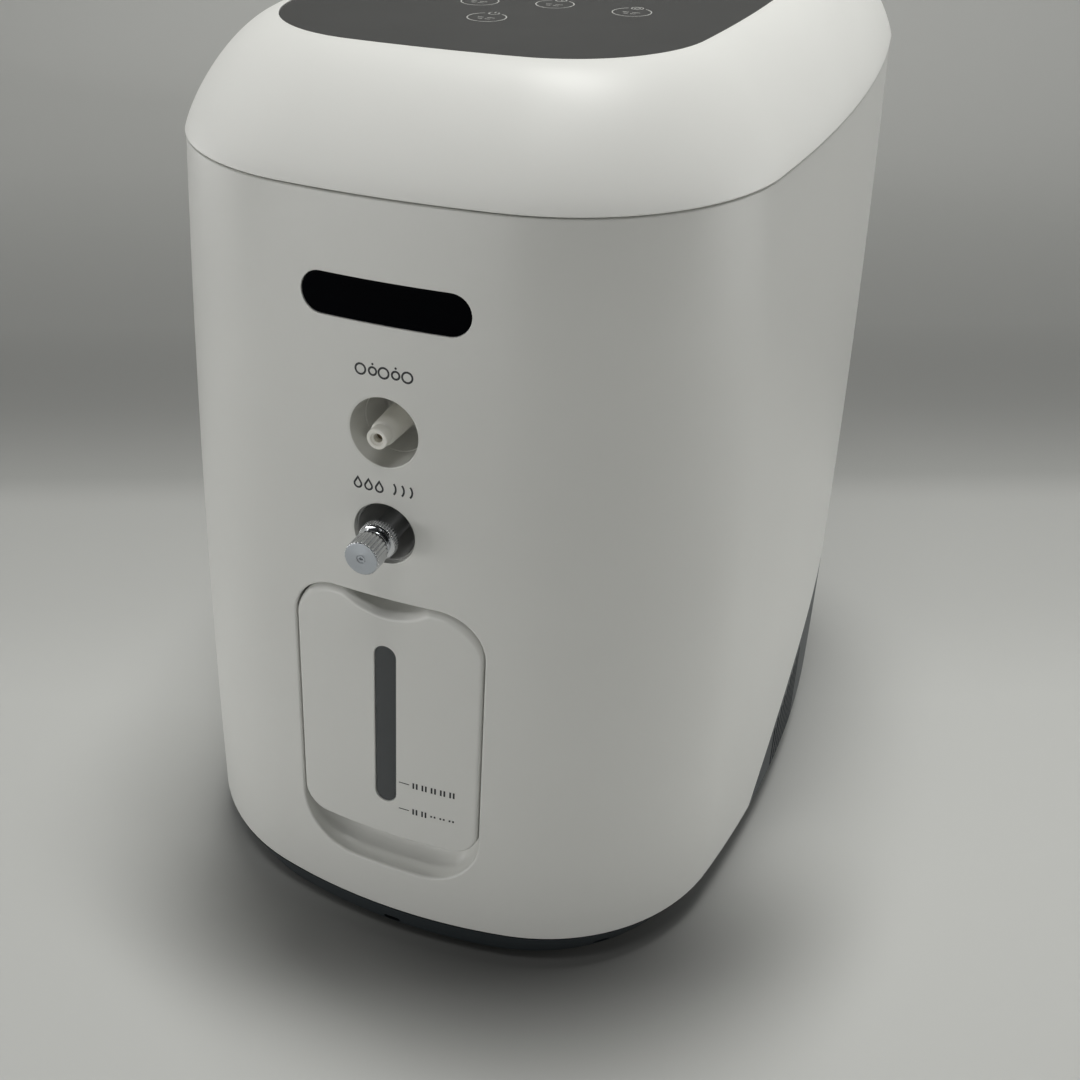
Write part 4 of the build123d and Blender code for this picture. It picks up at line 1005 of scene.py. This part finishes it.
def liner_corners():
    """The plated socket inside the lower well."""
    return [
        (9.75, 1.6, 0), (9.55, 1.5, 0.1), (9.3, 2.0, 0.3), (8.5, 19.4, 2.2), (6.6, 19.6, 0.4), (6.4, 18.4, 0.4),
        (4.3, 18.3, 0),
    ]


def stem_corners():
    """A plain stem, then the thread's crests and roots up to its tip."""
    crest, root = 3.5, 3.25
    points = [(4.3, 18.5, 0), (4.2, -2.0, 0.25), (crest, -2.0, 0)]
    depth = -2.3
    while depth > -11.6:
        points += [(crest, depth, 0.04), (root, depth - 0.25, 0.04), (crest, depth - 0.5, 0.04)]
        depth -= 1.0
    return points + [(3.2, THREAD_TIP, 0.2), (BORE_RADIUS, THREAD_TIP, 0.1), (BORE_RADIUS, -6.0, 0)]


def build_bore():
    """The end of the spigot's bore: a disc coloured with painted shade."""
    made = Builder()
    depth = SPIGOT_TIP + 3.0
    lathe(made, [(BORE_RADIUS + 0.04, depth, 0, 1), (0.02, depth, 0, 1)], OXYGEN_Z, 32, 0)
    return made.mesh("bore_200", BORE_SHADE)


def build_knurled(name, groove, count, samples, stations):
    """A turned bar with straight grooves between rounded ridges. Stations give depth, radius, share of the groove's
    depth, and the forward part of the normal."""
    made = Builder()
    base = front_y(0, ATOMIZER_Z)
    total = count * samples
    rows = []
    for depth, radius, share, forward in stations:
        row = []
        for k in range(total):
            turn = 2 * pi * k / total
            phase = (k % samples + 0.5) / samples
            r = radius - groove * share * (1 - sin(pi * phase))
            slope = -groove * share * cos(pi * phase) * count / 2 / radius
            out = Vector((cos(turn), 0, sin(turn)))
            side = Vector((-sin(turn), 0, cos(turn)))
            n = (out + side * slope) * sqrt(max(0.0, 1 - forward * forward)) + Vector((0, -forward, 0))
            row.append(made.add((r * cos(turn), base + depth, ATOMIZER_Z + r * sin(turn)), n))
        rows.append(row)
    made.grid(rows, closed=True)
    return made.mesh(name, MATERIALS["chrome"])


def knob_stations():
    """A plain collar at the back, the knurled grip, and a chamfer to the face."""
    stations = [
        (9.3, 4.3, 0.0, -1.0), (9.3, 4.6, 0.0, -0.8), (9.1, 4.8, 0.0, -0.3), (7.7, 5.0, 0.0, -0.15),
        (7.1, 5.05, 0.0, -0.3), (6.9, 5.2, 0.2, -0.6), (6.6, 5.45, 0.9, -0.4), (6.3, 5.5, 1.0, 0.0),
        (0.7, 5.5, 1.0, 0.0), (0.35, 5.46, 1.0, 0.3), (0.16, 5.34, 0.8, 0.7), (0.1, 5.2, 0.15, 0.8),
    ]
    return [(KNOB_FACE + behind, *rest) for behind, *rest in stations]


def build_knob_face():
    """The cap's flat end: a turned face with fine rings, one deeper ring and a centre dimple."""
    made = Builder()
    face = KNOB_FACE
    profile = [(5.2, face + 0.1, 0.7, 0.7), (5.05, face + 0.03, 0.35, 0.93), (4.9, face, 0.0, 1.0)]
    radius = 4.9
    while radius > 1.5:
        profile.append((radius, face, 0.0, 1.0))
        radius -= 0.35
        profile.append((radius + 0.08, face, 0.0, 1.0))
        profile.append((radius + 0.04, face + 0.025, 0.25, 0.97))
    profile += [
        (1.5, face, 0.0, 1.0), (1.42, face + 0.12, 0.8, 0.6), (1.3, face + 0.16, 0.0, 1.0),
        (1.2, face + 0.12, -0.8, 0.6), (1.1, face, 0.0, 1.0), (0.62, face, 0.0, 1.0),
        (0.5, face + 0.18, 0.8, 0.6), (0.02, face + 0.42, 0.2, 0.98),
    ]
    lathe(made, profile, ATOMIZER_Z, 96, 0)
    return made.mesh("atomizer_knob_face", TURNED_FACE)


# two knurled bands with a smooth groove between them
LOCK_RING = (
    (-2.0, 3.6, 0.0, -1.0), (-2.0, 5.7, 0.0, -0.9), (-2.15, 6.0, 0.5, -0.5), (-2.4, 6.1, 1.0, 0.0),
    (-3.35, 6.1, 1.0, 0.0), (-3.45, 5.75, 0.3, 0.0), (-3.65, 5.75, 0.3, 0.0), (-3.75, 6.1, 1.0, 0.0),
    (-4.6, 6.1, 1.0, 0.0), (-4.85, 6.0, 0.5, 0.5), (-5.0, 5.7, 0.0, 0.9), (-5.0, 3.6, 0.0, 1.0),
)

WHITE, CHROME = MATERIALS["port_white"], MATERIALS["chrome"]
oxygen_cup = turned("oxygen_cup", cup_corners(OXYGEN_WELL_RADIUS), OXYGEN_Z, WHITE, 8)
atomizer_cup = turned("atomizer_cup", cup_corners(ATOMIZER_WELL_RADIUS), ATOMIZER_Z, WHITE, 8)
spigot = turned("oxygen_spigot", spigot_corners(), OXYGEN_Z, MATERIALS["spigot_white"], 5, 72, 0)
bore = build_bore()
liner = turned("atomizer_liner", liner_corners(), ATOMIZER_Z, SOCKET, 6)
stem = turned("atomizer_stem", stem_corners(), ATOMIZER_Z, CHROME, 3, 64, 0)
place(oxygen_cup, "housing", "port_white", "oxygen_port_cup")
place(atomizer_cup, "housing", "port_white", "atomizer_port_cup")
place(spigot, "housing", "spigot_white", "oxygen_nozzle")
place(bore, "housing", "spigot_white")
place(liner, "housing", "chrome")
place(stem, "housing", "chrome", "atomizer_nozzle")
place(build_knurled("atomizer_ring", 0.5, 44, 8, LOCK_RING), "housing", "chrome", "atomizer_lock_ring")
place(build_knurled("atomizer_knob", 0.62, 26, 12, knob_stations()), "screw_cap", "chrome", "atomizer_cap")
place(build_knob_face(), "screw_cap", "chrome")


# ---------------------------------------------------------------- humidifier cover
NOTCH_HALF = 13.9
NOTCH_DROP = 4.6
NOTCH_RADIUS = (NOTCH_HALF**2 + NOTCH_DROP**2) / (2 * NOTCH_DROP)
NOTCH_Z = COVER_TOP_Z - NOTCH_DROP + NOTCH_RADIUS
WINDOW_LOW, WINDOW_HIGH, WINDOW_HALF = 63.6, 126.4, 3.75


def window_loop(outward, spacing, corner=None):
    radius = corner or WINDOW_HALF + outward
    return round_rect(WINDOW_HALF + outward, WINDOW_LOW - outward, WINDOW_HIGH + outward, radius, radius, spacing)


def cover_loop():
    """The cover's outline with the S-curved finger notch in its top edge."""
    fillet = 4.6
    fillet_z = COVER_TOP_Z - fillet
    shoulder_x = sqrt((NOTCH_RADIUS + fillet) ** 2 - (NOTCH_Z - fillet_z) ** 2)
    lean = atan2(shoulder_x, NOTCH_Z - fillet_z)
    notch = arc_points(shoulder_x, fillet_z, fillet, pi / 2, pi / 2 + lean, 8)
    notch += arc_points(0, NOTCH_Z, NOTCH_RADIUS, -pi / 2 + lean, -pi / 2 - lean, 34)
    notch += arc_points(-shoulder_x, fillet_z, fillet, pi / 2 - lean, pi / 2, 8)
    top_edge = (shoulder_x, notch)
    return rounded_loop(COVER_HALF_WIDTH, COVER_BOTTOM_Z, COVER_TOP_Z, 15.0, 9.0, (26, 18), (1.2, 1.5, 0.8), top_edge)


def build_cover():
    """The rolled edge is wider where it faces up."""
    made = Builder()
    loop = cover_loop()
    window = window_loop(0.0, 1.0)
    roll, extra_roll, window_roll = 1.2, 1.7, 0.45
    radii = [roll + extra_roll * smoothstep(0.0, 0.9, nz) for _, nz in loop_normals(loop)]
    filled(made, moved_loop(loop, [-r for r in radii]), [moved_loop(window, window_roll)], front_y, -1, 3.0)
    rolled(made, loop, radii, 0, front_y, -1, True, 8, COVER_BACK_Y)
    rolled(made, window, window_roll, 2.4, front_y, -1, False)
    return made.mesh("humidifier_cover", MATERIALS["white_shell"])


def build_sight_window():
    """A pane sunk into the cover and crowned across its width."""
    made = Builder()
    clearance, sink, crown, roll = 0.03, 0.55, 0.25, 0.3
    loop = window_loop(-clearance, 1.0)

    def face(x, z):
        return front_y(x, z) + sink - crown * (1 - (x / WINDOW_HALF) ** 2)

    filled(made, moved_loop(loop, -roll), [], face, -1, 1.2)
    rolled(made, loop, roll, 2.0, face, -1, True, 4)
    return made.mesh("sight_pane", MATERIALS["smoke_window"])


def build_window_back():
    """What shows through the smoked pane: a sheet coloured with painted shade for the tank's dim inside."""
    made = Builder()
    behind = 3.2

    def face(x, z):
        return front_y(x, z) + behind

    filled(made, window_loop(1.5, 1.5), [], face, -1, 1.6)
    return made.mesh("window_back", TANK_INSIDE_PAINTED_SHADE)


def notch_edge_z(x):
    if abs(x) >= NOTCH_HALF:
        return COVER_TOP_Z
    return min(COVER_TOP_Z, NOTCH_Z - sqrt(NOTCH_RADIUS**2 - x * x))


# the notch's hollow in section: (depth behind the front, height from the cover's edge)
POCKET = (
    (3.2, -1.2), (3.4, -3.5), (3.9, -5.6), (5.0, -7.2), (6.6, -7.9), (8.0, -7.2), (8.8, -5.6), (9.1, -3.0), (9.2, 9.0)
)


def build_notch_pocket():
    """The hollow behind the finger notch: the cover's own back, a rounded floor and a wall at the back."""
    made = Builder()
    half_width, full_to = 18.5, 13.0
    rows = []
    for k in range(41):
        x = lerp(-half_width, half_width, k / 40)
        share = 1 - 0.6 * smoothstep(full_to, half_width, abs(x))
        rim = notch_edge_z(x)
        y = front_y(x, rim)
        heights = [min(rim + rise * share, COVER_TOP_Z + 0.3) for _, rise in POCKET]
        rows.append([made.add((x, y + behind, z), (0, -1, 0.6)) for (behind, _), z in zip(POCKET, heights)])
    made.grid(rows)
    return made.mesh("notch_pocket", MATERIALS["white_shell"], False)


place(build_cover(), "water_tank", "white_shell", "tank_cover")
place(build_sight_window(), "water_tank", "smoke_window", "sight_window")
place(build_window_back(), "water_tank", "tank_clear")
place(build_notch_pocket(), "water_tank", "white_shell")


# ---------------------------------------------------------------- stage, light and camera
CARD = (0.665, 0.67, 0.655)
AWAY_FROM_CAMERA = (-0.4245, 0.9054, 0.0)
CARD_REACH = 1.5
# painted shade: the card's tone along the way away from the camera, darkest in a band behind the object
CARD_PAINTED_SHADE_STOPS = (
    (0.0, 0.96), (0.05, 0.80), (0.112, 0.77), (0.132, 0.58), (0.19, 0.36), (0.27, 0.38), (0.5, 0.64), (0.8, 0.92)
)
# the core of the footprint that the painted contact shadow is measured from
FOOTPRINT_CORE = (0.021, 0.065, 0.0)


def sweep_card_painted_shade():
    """Pale card with painted shade. A soft darker band is painted behind the object, like the shaded foot of a
    backdrop, and a painted contact shadow darkens the card in front of the object."""
    material, shader = new_material("sweep_card_painted_shade", CARD, 0.7)
    shader.inputs["Specular IOR Level"].default_value = 0.2
    nodes, links = material.node_tree.nodes, material.node_tree.links

    def vector(operation, value, source):
        node = nodes.new("ShaderNodeVectorMath")
        node.operation = operation
        node.inputs[1].default_value = value
        links.new(source, node.inputs[0])
        return node.outputs["Value" if operation in ("LENGTH", "DOT_PRODUCT") else "Vector"]

    def ranged(source, low, high, to_low, to_high):
        node = nodes.new("ShaderNodeMapRange")
        node.interpolation_type = "SMOOTHSTEP"
        for name, value in (("From Min", low), ("From Max", high), ("To Min", to_low), ("To Max", to_high)):
            node.inputs[name].default_value = value
        links.new(source, node.inputs["Value"])
        return node.outputs["Result"]

    place_on_card = nodes.new("ShaderNodeTexCoord").outputs["Object"]
    # painted shade: the card darkens in a band behind the object
    behind = vector("DOT_PRODUCT", [c / CARD_REACH for c in AWAY_FROM_CAMERA], place_on_card)
    ramp = nodes.new("ShaderNodeValToRGB")
    ramp.color_ramp.interpolation = "B_SPLINE"
    for k, (position, share) in enumerate(CARD_PAINTED_SHADE_STOPS):
        stop = ramp.color_ramp.elements[k] if k < 2 else ramp.color_ramp.elements.new(position)
        stop.position = position
        stop.color = (*[c * share for c in CARD], 1)
    links.new(behind, ramp.inputs["Fac"])

    # painted contact shadow: distance from the round-cornered footprint, and how far toward the front it lies
    folded = vector("ABSOLUTE", (0, 0, 0), place_on_card)
    past = vector("MAXIMUM", (0, 0, 0), vector("SUBTRACT", FOOTPRINT_CORE, folded))
    shade = ranged(vector("LENGTH", (0, 0, 0), past), 0.074, 0.150, 0.24, 1.0)
    # the painted contact shadow is weighted towards the front of the object
    painted_shadow_mix = nodes.new("ShaderNodeMix")
    painted_shadow_mix.inputs["A"].default_value = 1.0
    links.new(ranged(behind, -0.052, -0.104, 0.0, 1.0), painted_shadow_mix.inputs["Factor"])
    links.new(shade, painted_shadow_mix.inputs["B"])
    tone = nodes.new("ShaderNodeVectorMath")
    tone.operation = "SCALE"
    links.new(ramp.outputs["Color"], tone.inputs[0])
    links.new(painted_shadow_mix.outputs["Result"], tone.inputs["Scale"])
    links.new(tone.outputs["Vector"], shader.inputs["Base Color"])
    return material


def build_sweep():
    """A pale floor that curves up into a wall well behind the object. It lies just under the feet."""
    data = bpy.data.meshes.new("sweep")
    bend_y, bend, half_width, sink = 0.75, 0.35, 4.0, 0.0002
    turns = [pi / 2 * k / 24 for k in range(25)]
    line = [(-2.5, 0.0)] + [(bend_y + bend * sin(a), bend - bend * cos(a)) for a in turns] + [(bend_y + bend, 3.5)]
    points = [(x, y, z - sink) for y, z in line for x in (-half_width, half_width)]
    faces = [(2 * k, 2 * k + 1, 2 * k + 3, 2 * k + 2) for k in range(len(line) - 1)]
    data.from_pydata(points, [], faces)
    data.polygons.foreach_set("use_smooth", [True] * len(data.polygons))
    data.update()
    obj = bpy.data.objects.new("sweep", data)
    bpy.context.scene.collection.objects.link(obj)
    data.materials.append(sweep_card_painted_shade())


build_sweep()


def area_light(name, location, target, size, power, blue):
    data = bpy.data.lights.new(name, "AREA")
    data.shape = "RECTANGLE"
    data.size, data.size_y = size
    data.energy = power
    data.color = (1.0, 1.0, blue)
    obj = bpy.data.objects.new(name, data)
    obj.location = location
    obj.rotation_mode = "QUATERNION"
    obj.rotation_quaternion = (Vector(target) - Vector(location)).to_track_quat("-Z", "Y")
    bpy.context.scene.collection.objects.link(obj)


# name, place, point it looks at, size, watts, share of blue
LIGHTS = (
    ("ceiling_light", (0.03, 0.2, 2.0), (0.0, 0.12, 0.0), (0.8, 0.36), 20.2, 0.97),
    ("top_strip", (0.1, -0.62, 1.55), (0.0, -0.14, 0.1), (0.55, 0.14), 2.4, 0.97),
    ("front_fill", (-0.6, -1.3, 0.1), (0.0, 0.0, 0.14), (1.0, 0.16), 3.7, 0.98),
    ("left_fill", (-1.3, -0.1, 0.12), (0.0, 0.0, 0.14), (0.9, 0.2), 2.5, 0.98),
    ("right_fill", (1.3, 0.4, 0.24), (0.0, 0.0, 0.24), (0.9, 0.4), 4.7, 0.98),
)
for light in LIGHTS:
    area_light(*light)

bpy.context.scene.view_settings.view_transform = "Standard"
bpy.context.scene.view_settings.look = "None"


def build_world():
    """A soft grey room: dim on the side the camera stands, brighter behind the object."""
    world = bpy.data.worlds.new("studio")
    bpy.context.scene.world = world
    world.use_nodes = True
    nodes, links = world.node_tree.nodes, world.node_tree.links
    coord = nodes.new("ShaderNodeTexCoord")
    facing = nodes.new("ShaderNodeVectorMath")
    facing.operation = "DOT_PRODUCT"
    facing.inputs[1].default_value = Vector((0.42, -0.9, 0.0)).normalized() * 0.5
    links.new(coord.outputs["Generated"], facing.inputs[0])
    half = nodes.new("ShaderNodeMath")
    half.operation = "ADD"
    half.inputs[1].default_value = 0.5
    links.new(facing.outputs["Value"], half.inputs[0])
    ramp = nodes.new("ShaderNodeValToRGB")
    greys = ((0.45, (0.10, 0.101, 0.098, 1)), (0.92, (0.02, 0.0205, 0.02, 1)))
    for stop, (position, colour) in zip(ramp.color_ramp.elements, greys):
        stop.position = position
        stop.color = colour
    links.new(half.outputs["Value"], ramp.inputs["Fac"])
    links.new(ramp.outputs["Color"], nodes["Background"].inputs["Color"])
    nodes["Background"].inputs["Strength"].default_value = 1.0


build_world()

# the camera looks at a point of the front from its right and from above
CAMERA_AZIMUTH, CAMERA_ELEVATION, CAMERA_ROLL = radians(25.12), radians(33.53), radians(-0.32)
CAMERA_AIM = Vector((0, -0.06245, 0.1082))
CAMERA_DISTANCE = 0.49857
CAMERA_SIDESTEP = -0.02181
SENSOR_WIDTH, LENS = 36.0, 45.94
SHIFT_X, SHIFT_Y = 0.1077, 0.0242


def build_camera():
    level = cos(CAMERA_ELEVATION)
    back = Vector((sin(CAMERA_AZIMUTH) * level, -cos(CAMERA_AZIMUTH) * level, sin(CAMERA_ELEVATION)))
    right = (-back).cross(Vector((0, 0, 1))).normalized()
    up = right.cross(-back)
    axes = (
        right * cos(CAMERA_ROLL) + up * sin(CAMERA_ROLL), up * cos(CAMERA_ROLL) - right * sin(CAMERA_ROLL), back,
        CAMERA_AIM + back * CAMERA_DISTANCE + right * CAMERA_SIDESTEP,
    )
    matrix = Matrix.Identity(4)
    for column, axis in enumerate(axes):
        for row in range(3):
            matrix[row][column] = axis[row]
    data = bpy.data.cameras.new("photo_camera")
    data.sensor_width, data.lens = SENSOR_WIDTH, LENS
    data.shift_x, data.shift_y = SHIFT_X, SHIFT_Y
    data.clip_start = 0.01
    camera = bpy.data.objects.new("photo_camera", data)
    camera.matrix_world = matrix
    bpy.context.scene.collection.objects.link(camera)
    bpy.context.scene.camera = camera


build_camera()
